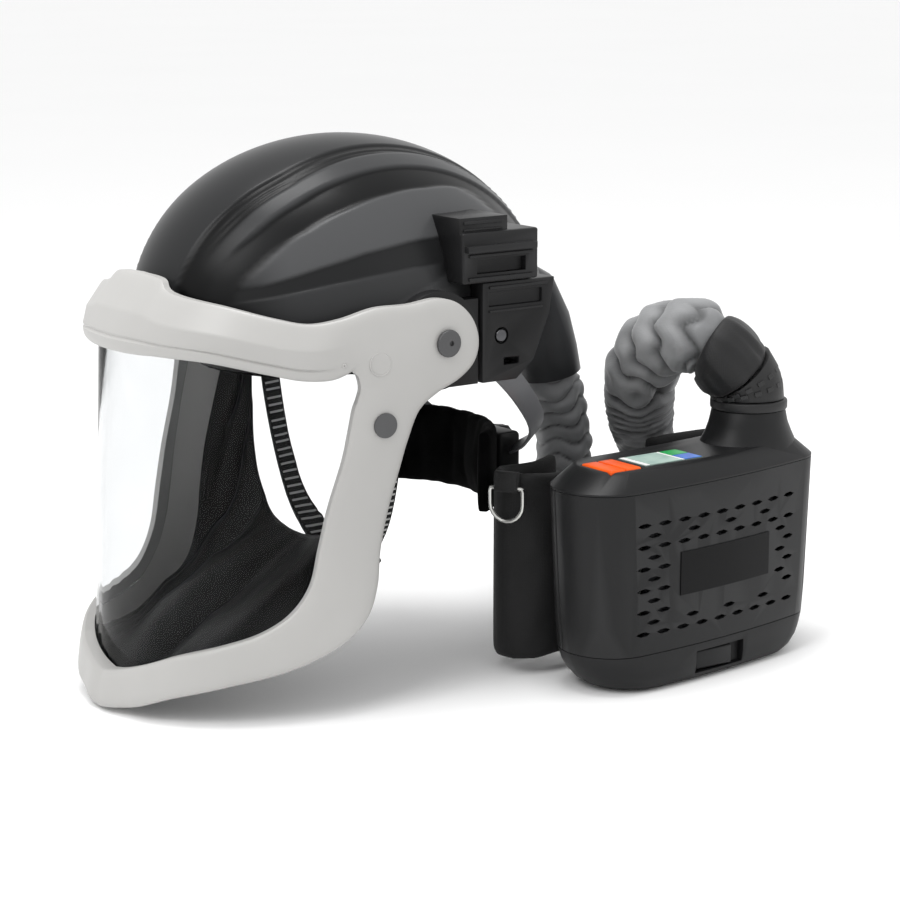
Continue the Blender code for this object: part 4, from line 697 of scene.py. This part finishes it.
def frame_face(t, share, z):
    """How far the frame's outside stands out between its outer edge, t 0, and the window, t 1."""
    brow = ease(0.200, 0.225, z) * (1 - ease(0.60, 0.72, abs(share)))
    crease = CREASE_HEIGHT * (1 - 0.55 * (t - 0.46) / 0.54) if t > 0.46 else CREASE_HEIGHT * (t / 0.46)
    crown = 0.0016 * (1 - (2 * t - 1) ** 4)
    face = crown * (1 - brow) + crease * brow
    lip = -0.0011 * math.exp(-((t - 0.80) / 0.022) ** 2) * brow
    edge = 0.0010 * (math.exp(-t / 0.025) + math.exp(-(1 - t) / 0.025))
    flare = FLARE * max(0.0, 1 - abs(share) / 0.5) * max(0.0, 1 - z / 0.05)
    wave = 0.0012 * flare / FLARE * math.sin(abs(share) * 42.0)
    return face + lip - edge + flare + wave


half = smooth_path([Vector((a, b, c)) for a, b, c, d in FRAME_EDGES], 6)
fourth = smooth_path([Vector((d, 0, 0)) for a, b, c, d in FRAME_EDGES], 6)
edges = [(p.x, p.y, p.z, q.x) for p, q in zip(half, fourth)]
edges += [(-a, b, -c, d) for a, b, c, d in edges[-2:0:-1]]
ACROSS = [0.0, 0.012, 0.035, 0.07, 0.12] + [0.12 + 0.034 * k for k in range(1, 23)]
ACROSS += [0.90, 0.94, 0.97, 0.988, 1.0]
rows = []
for a, b, c, d in edges:
    row = []
    for t in ACROSS:
        share, z = a + (c - a) * t, b + (d - b) * t
        row.append(on_visor(share, z, frame_face(t, share, z)))
    for t in (1.0, 0.9, 0.5, 0.1, 0.0):
        share, z = a + (c - a) * t, b + (d - b) * t
        row.append(on_visor(share, z, -VISOR_WALL))
    rows.append(row)
visor_frame = skin("visor_frame_moulding", rows, closed=True)
bpy.ops.object.shade_smooth_by_angle(angle=math.radians(28))
frame_white = material("satin_pale_grey", (0.355, 0.350, 0.340), (0.415, 0.410, 0.398), 0.42, cloud=5.0,
                       grain=1600.0, depth=0.06, coat=0.05)
visor_frame.data.materials.append(frame_white)
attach(visor_frame, "visor")
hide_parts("visor_frame")
# small raised marks on each arm: share, height, lift, then the ring's two radii
RINGS = (("embossed_ring", 0.794, 0.2215, 0.0012, 0.0072, 0.0005),
         ("lens_pin", 0.690, 0.2225, 0.0016, 0.0009, 0.0007))
for side, s in (("left", -1), ("right", 1)):
    recast(f"frame_plug_{side}", cap_grey, 0.0004)
    for name, share, z, lift, major, minor in RINGS:
        at = on_visor(share, z, lift, s)
        out = (on_visor(share, z, 0.02, s) - at).normalized()
        bpy.ops.mesh.primitive_torus_add(major_radius=major, minor_radius=minor, major_segments=48,
                                         minor_segments=10, location=at,
                                         rotation=out.to_track_quat("Z", "Y").to_euler())
        trim = bpy.context.active_object
        trim.name = f"{name}_{side}"
        bpy.ops.object.transform_apply(location=True, rotation=True, scale=True)
        bpy.ops.object.shade_smooth()
        trim.data.materials.append(frame_white)
        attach(trim, "visor")


# ---- Window and its seal ---------------------------------------------------------------------
# The window is a bent sheet of clear polycarbonate, 1.5 mm thick. A soft black foam strip
# behind its upper edge closes the gap to the brow.
glass = bpy.data.materials.new("clear_polycarbonate")
glass.use_nodes = True
nodes, links = glass.node_tree.nodes, glass.node_tree.links
shader = nodes["Principled BSDF"]
shader.inputs["Transmission Weight"].default_value = 1.0
shader.inputs["IOR"].default_value = 1.12
coordinates, smear = nodes.new("ShaderNodeTexCoord"), nodes.new("ShaderNodeTexNoise")
clean = nodes.new("ShaderNodeMapRange")
smear.inputs["Scale"].default_value = 30.0
clean.inputs["To Min"].default_value, clean.inputs["To Max"].default_value = 0.0, 0.045
haze = nodes.new("ShaderNodeValToRGB")
haze.color_ramp.elements[0].color = (0.83, 0.84, 0.845, 1)
haze.color_ramp.elements[1].color = (0.88, 0.885, 0.89, 1)
links.new(coordinates.outputs["Object"], smear.inputs["Vector"])
links.new(smear.outputs["Fac"], clean.inputs["Value"])
links.new(smear.outputs["Fac"], haze.inputs["Fac"])
links.new(clean.outputs["Result"], shader.inputs["Roughness"])
links.new(haze.outputs["Color"], shader.inputs["Base Color"])
recast("visor_lens", glass, 0.0003, name="visor_window")
foam = material("soft_foam_rubber", (0.012, 0.012, 0.012), (0.022, 0.022, 0.022), 0.85, grain=1200.0,
                depth=0.5)
recast("lens_gasket", foam, 0.0006)


# ---- Face seal -------------------------------------------------------------------------------
# A skirt of thin black nylon is sewn round the inside of the frame and gathered under the chin,
# so that it falls in long folds that run from the chin up to the frame's rear edge.
SEAL_EDGES = (
    (0.900, 0.1865, -0.0145, 0.0960, 0.1855), (0.880, 0.172, -0.0160, 0.0920, 0.1730),
    (0.852, 0.152, -0.0190, 0.0870, 0.1580), (0.822, 0.130, -0.0220, 0.0810, 0.1430),
    (0.802, 0.105, -0.0250, 0.0740, 0.1300), (0.790, 0.084, -0.0280, 0.0660, 0.1190),
    (0.757, 0.064, -0.0310, 0.0565, 0.1100), (0.680, 0.050, -0.0340, 0.0460, 0.1030),
    (0.550, 0.038, -0.0365, 0.0350, 0.0985), (0.400, 0.030, -0.0380, 0.0250, 0.0960),
    (0.250, 0.022, -0.0390, 0.0150, 0.0945), (0.125, 0.014, -0.0395, 0.0070, 0.0940),
    (0.000, 0.011, -0.0395, 0.0000, 0.0940),
)
# the cut cloth is a tapered strip: as long as the seam round the frame, and 0.30 m at the face
FOLD_LIFT, RIPPLE_LIFT, CRUMPLE_LIFT, SKIRT_THICKNESS = 0.0046, 0.0003, 0.0007, 0.0008
left = [(share, z, x, -y, high) for share, z, x, y, high in SEAL_EDGES]
both = left + [(-share, z, x, -y, high) for share, z, x, y, high in left[-2::-1]]
outer_at = smooth_path([Vector((share, z, 0)) for share, z, x, y, high in both], 14)
inner_at = smooth_path([Vector((x, y, high)) for share, z, x, y, high in both], 14)
outer_edge = [on_visor(p.x, p.y, -VISOR_WALL - 0.0055) for p in outer_at]
sewn_edge = [on_visor(p.x * 0.982, p.y, -VISOR_WALL - 0.0007) for p in outer_at]
inner_edge = [HELMET + p for p in inner_at]
rows = []
run = 0.0
last = len(outer_edge) - 1
for i, (outer, inner) in enumerate(zip(outer_edge, inner_edge)):
    if i:
        run += (outer + inner - outer_edge[i - 1] - inner_edge[i - 1]).length / 2
    ahead, behind = min(i + 1, last), max(i - 1, 0)
    edge = outer_edge[ahead] + inner_edge[ahead] - outer_edge[behind] - inner_edge[behind]
    thick = edge.cross(inner - outer).normalized()
    ends = min(1.0, i / 20, (last - i) / 20)
    row = [sewn_edge[i].lerp(outer, k / 5) for k in range(5)]
    for k in range(41):
        v = k / 40
        middle = math.sin(math.pi * min(1.0, v * 0.97 + 0.015)) ** 0.7 * ends
        skew = (0.5 - v) * math.copysign(1.0, i - last / 2) * min(1.0, abs(i - last / 2) / 60)
        wander = noise.noise(Vector((run * 14, v * 1.3, 0)))
        fold = 1 - 2 * abs(math.sin(run * 44.0 + 2.8 * skew + 1.4 * wander)) ** 0.75
        small = math.sin(run * 210.0 - 5.0 * skew + 2.6 * noise.noise(Vector((run * 25, v * 3, 5))))
        crumple = noise.noise(Vector((run * 60, v * 5, 9)))
        lift = FOLD_LIFT * fold + RIPPLE_LIFT * small + CRUMPLE_LIFT * crumple
        row.append(outer.lerp(inner, v) + thick * middle * lift)
    rows.append(row)
seal = skin("face_seal_skirt", rows, around=False)
wall = seal.modifiers.new("wall", "SOLIDIFY")
wall.thickness, wall.offset = SKIRT_THICKNESS, 0.0
bpy.ops.object.modifier_apply(modifier="wall")
bpy.ops.object.shade_smooth()
skirt_nylon = material("black_nylon_skirt", (0.0016, 0.0016, 0.0017), (0.0036, 0.0036, 0.0038), 0.42,
                       cloud=30.0, grain=1800.0, depth=0.06, specular=0.16)
seal.data.materials.append(skirt_nylon)
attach(seal, "visor")
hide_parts("face_seal")


# ---- Blower housing --------------------------------------------------------------------------
# Fine-textured charcoal ABS: a louvred front cover over the filters, a rear shell, a top console
# with the outlet neck, and a battery that clips on as the base with a sliding latch.
BEND, BEND_FROM = 0.75, -0.0615     # the plan bends back by BEND times the squared distance
COVER_FROM, COVER_TO = -0.073, 0.091
LABEL_AT, LABEL_FRONT = (0.009, 0, 0.0753), -0.0385
LABEL_SIZE, LABEL_THICKNESS = (0.084, 0.0285, 1.0), 0.0007


def bent_back(x):
    """How far the blower's plan has bent back at x."""
    return BEND * (x - BEND_FROM) ** 2


charcoal = material("charcoal_abs", (0.0060, 0.0061, 0.0065), (0.0095, 0.0097, 0.0102), 0.40, cloud=6.0,
                    grain=1500.0, depth=0.14, wear=0.20, specular=0.22)
recast("battery_pack", charcoal, 0.0008)
recast("battery_latch", charcoal, 0.0008)
recast("rear_housing", charcoal, 0.0005)
cover = recast("filter_cover", charcoal, 0.0005)
normals = [Vector(corner.vector) for corner in cover.data.corner_normals]
for face in cover.data.polygons:
    for loop in face.loop_indices:
        x = (cover.matrix_world @ cover.data.vertices[cover.data.loops[loop].vertex_index].co).x
        bent = Vector((2 * BEND * (x - BEND_FROM), -1.0, 0.0)).normalized()
        if face.normal.angle(bent) < math.radians(8) and COVER_FROM < x < COVER_TO:
            normals[loop] = bent
cover.data.normals_split_custom_set(normals)
recast("top_console", charcoal, 0.0009)
for index in (1, 2, 3):
    recast(f"housing_screw_{index}", screw_steel, 0.0003)
bpy.ops.object.select_all(action="DESELECT")
bpy.ops.mesh.primitive_grid_add(x_subdivisions=24, y_subdivisions=8, size=1.0, location=LABEL_AT,
                                rotation=(math.pi / 2, 0, 0))
label = bpy.context.active_object
label.name, label.scale = "blank_label_plate", LABEL_SIZE
bpy.ops.object.transform_apply(location=True, rotation=True, scale=True)
for vertex in label.data.vertices:
    vertex.co.y = LABEL_FRONT + bent_back(vertex.co.x)
wall = label.modifiers.new("wall", "SOLIDIFY")
wall.thickness, wall.offset = LABEL_THICKNESS, 0.0
bpy.ops.object.modifier_apply(modifier="wall")
bpy.ops.object.shade_smooth_by_angle(angle=math.radians(30))
label_black = material("label_black", (0.0030, 0.0030, 0.0033), (0.0050, 0.0050, 0.0054), 0.34,
                       grain=2200.0, specular=0.1)
label.data.materials.append(label_black)
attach(label, "filter_cover")


# ---- Control panel ---------------------------------------------------------------------------
# Two orange silicone buttons sit beside a small display under a glossy window. Its fields are
# plain blocks of colour: a white bar, a pale field, a divider, and a green and a blue block.
orange = material("orange_silicone", (0.72, 0.080, 0.006), (0.84, 0.115, 0.010), 0.45, cloud=40.0,
                  grain=1200.0, depth=0.1, specular=0.2)
recast("power_button", orange, 0.0016)
recast("speed_button", orange, 0.0016)
glossy = material("display_window", (0.10, 0.14, 0.13), (0.15, 0.20, 0.18), 0.15, cloud=60.0, grain=300.0,
                  depth=0.02, specular=0.3)
recast("display_window", glossy, 0.0003)
DISPLAY_FACE, BLOCK_THICKNESS = 0.14435, 0.0004
for name, x0, x1, y0, y1, low, high in (
        ("display_bar", -0.0462, -0.0425, -0.0172, 0.0092, (0.75, 0.75, 0.74), (0.85, 0.85, 0.84)),
        ("display_field", -0.0418, -0.0158, -0.0172, 0.0092, (0.30, 0.42, 0.38), (0.42, 0.54, 0.48)),
        ("display_divider", -0.0152, -0.0136, -0.0172, 0.0092, (0.75, 0.75, 0.74), (0.85, 0.85, 0.84)),
        ("display_green", -0.0128, 0.0012, -0.0032, 0.0092, (0.01, 0.26, 0.06), (0.02, 0.36, 0.09)),
        ("display_blue", -0.0128, 0.0012, -0.0172, -0.0040, (0.01, 0.08, 0.40), (0.03, 0.16, 0.55))):
    bpy.ops.mesh.primitive_cube_add(size=1.0, location=((x0 + x1) / 2, (y0 + y1) / 2, DISPLAY_FACE))
    block = bpy.context.active_object
    block.name, block.scale = name, (x1 - x0, y1 - y0, BLOCK_THICKNESS)
    bpy.ops.object.transform_apply(location=True, rotation=True, scale=True)
    rounded(block, 0.00015)
    colour = material(name, low, high, 0.3, cloud=90.0, grain=700.0, depth=0.03, specular=0.15)
    block.data.materials.append(colour)
    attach(block, "root")
solder_mask = material("solder_mask", (0.010, 0.080, 0.030), (0.020, 0.120, 0.050), 0.35, coat=0.3)
recast("circuit_board", solder_mask, 0.0)


# ---- Fan and filters -------------------------------------------------------------------------
# Inside, a radial impeller of moulded nylon turns on a small motor in a scroll, behind a pleated
# glass-fibre paper filter and a sheet of open-cell foam.
fan_grey = material("fan_nylon", (0.085, 0.085, 0.09), (0.12, 0.12, 0.125), 0.5)
recast("fan_scroll", charcoal, 0.0005)
recast("impeller", fan_grey, 0.0003)
motor_can = material("plated_motor_can", (0.38, 0.38, 0.39), (0.52, 0.52, 0.53), 0.35, metal=1.0)
recast("motor", motor_can, 0.0004)
paper = cloth("filter_paper", (0.66, 0.66, 0.63), (0.78, 0.78, 0.75), 0.9, pitch=0.0016,
              directions=("Z", "X"))
recast("particle_filter", paper, 0.0)
open_foam = material("open_cell_foam", (0.030, 0.031, 0.034), (0.055, 0.056, 0.060), 0.95, cloud=200.0,
                     grain=700.0, depth=0.9)
recast("pre_filter", open_foam, 0.0004)


# ---- Outlet ----------------------------------------------------------------------------------
# A bayonet ring locks the black rubber elbow to the neck. The elbow's cuff carries two rows of
# small raised grips where the hose is clamped on.
rubber = material("black_elbow_rubber", (0.0040, 0.0040, 0.0042), (0.0080, 0.0080, 0.0084), 0.45,
                  wear=0.3, specular=0.35)
recast("hose_lock_ring", rubber, 0.0006)
recast("hose_elbow", rubber, 0.0008)
ELBOW_START, ELBOW_END = Vector((0.066, 0.010, 0.1724)), Vector((0.0608, 0.0118, 0.1895))
ELBOW_AXIS = Vector((-0.64, 0.24, 0.73)).normalized()
GRIPS_ROUND, GRIP_OUT, GRIP_SIZE = 16, 0.0238, (0.0050, 0.0030, 0.0016, 1.0)
grips = []
for row, t in enumerate((0.36, 0.66)):
    middle = ELBOW_START.lerp(ELBOW_END, t)
    along = Vector((0, 0, 1)).lerp(ELBOW_AXIS, t).normalized()
    across = along.cross(Vector((0, 1, 0))).normalized()
    other = across.cross(along)
    for k in range(GRIPS_ROUND):
        angle = 2 * math.pi * (k + row / 2) / GRIPS_ROUND
        out = across * math.cos(angle) + other * math.sin(angle)
        bpy.ops.mesh.primitive_cube_add(size=1.0)
        grip = bpy.context.active_object
        turn = Matrix((along.cross(out), along, out)).transposed().to_4x4()
        seat = Matrix.Translation(middle + out * GRIP_OUT)
        grip.matrix_world = seat @ turn @ Matrix.Diagonal(GRIP_SIZE)
        grips.append(grip)
grip_rows = joined(grips, "elbow_grips")
rounded(grip_rows, 0.0004)
grip_rows.data.materials.append(rubber)
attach(grip_rows, "root")


# ---- Belt ------------------------------------------------------------------------------------
# A padded nylon belt is folded behind the blower: soft foam in black fabric outside, a polyester
# webbing inside with a side-release buckle, and a bracket that hangs the blower on it.
belt_cloth = cloth("belt_nylon", (0.0030, 0.0030, 0.0032), (0.0065, 0.0065, 0.0068), 0.70, pitch=0.0010,
                   sheen=0.04)
swollen("belt_pad", "belt_foam_pad", 0.005, 0.004, belt_cloth, 0.0008)
web = cloth("polyester_webbing", (0.0040, 0.0040, 0.0042), (0.0085, 0.0085, 0.0088), 0.65, pitch=0.0014,
            sheen=0.05)
recast("belt_webbing", web, 0.0004)
recast("belt_bracket", nylon, 0.0008)
acetal = material("black_acetal", (0.014, 0.014, 0.015), (0.022, 0.022, 0.023), 0.38, wear=0.3)
recast("buckle_socket", acetal, 0.0005)
recast("buckle_tongue", acetal, 0.0005)


# ---- D-rings ---------------------------------------------------------------------------------
# On each fold of the belt a loop of webbing with a rolled hem holds a plated wire ring, bent to
# a D with its bar in the hem.
ring_steel = material("plated_ring_wire", (0.42, 0.42, 0.40), (0.60, 0.60, 0.58), 0.28, metal=1.0,
                      grain=2500.0, depth=0.15)
for side in ("left", "right"):
    recast(f"ring_loop_{side}", web, 0.0009)
    recast(f"d_ring_{side}", ring_steel, 0.0)
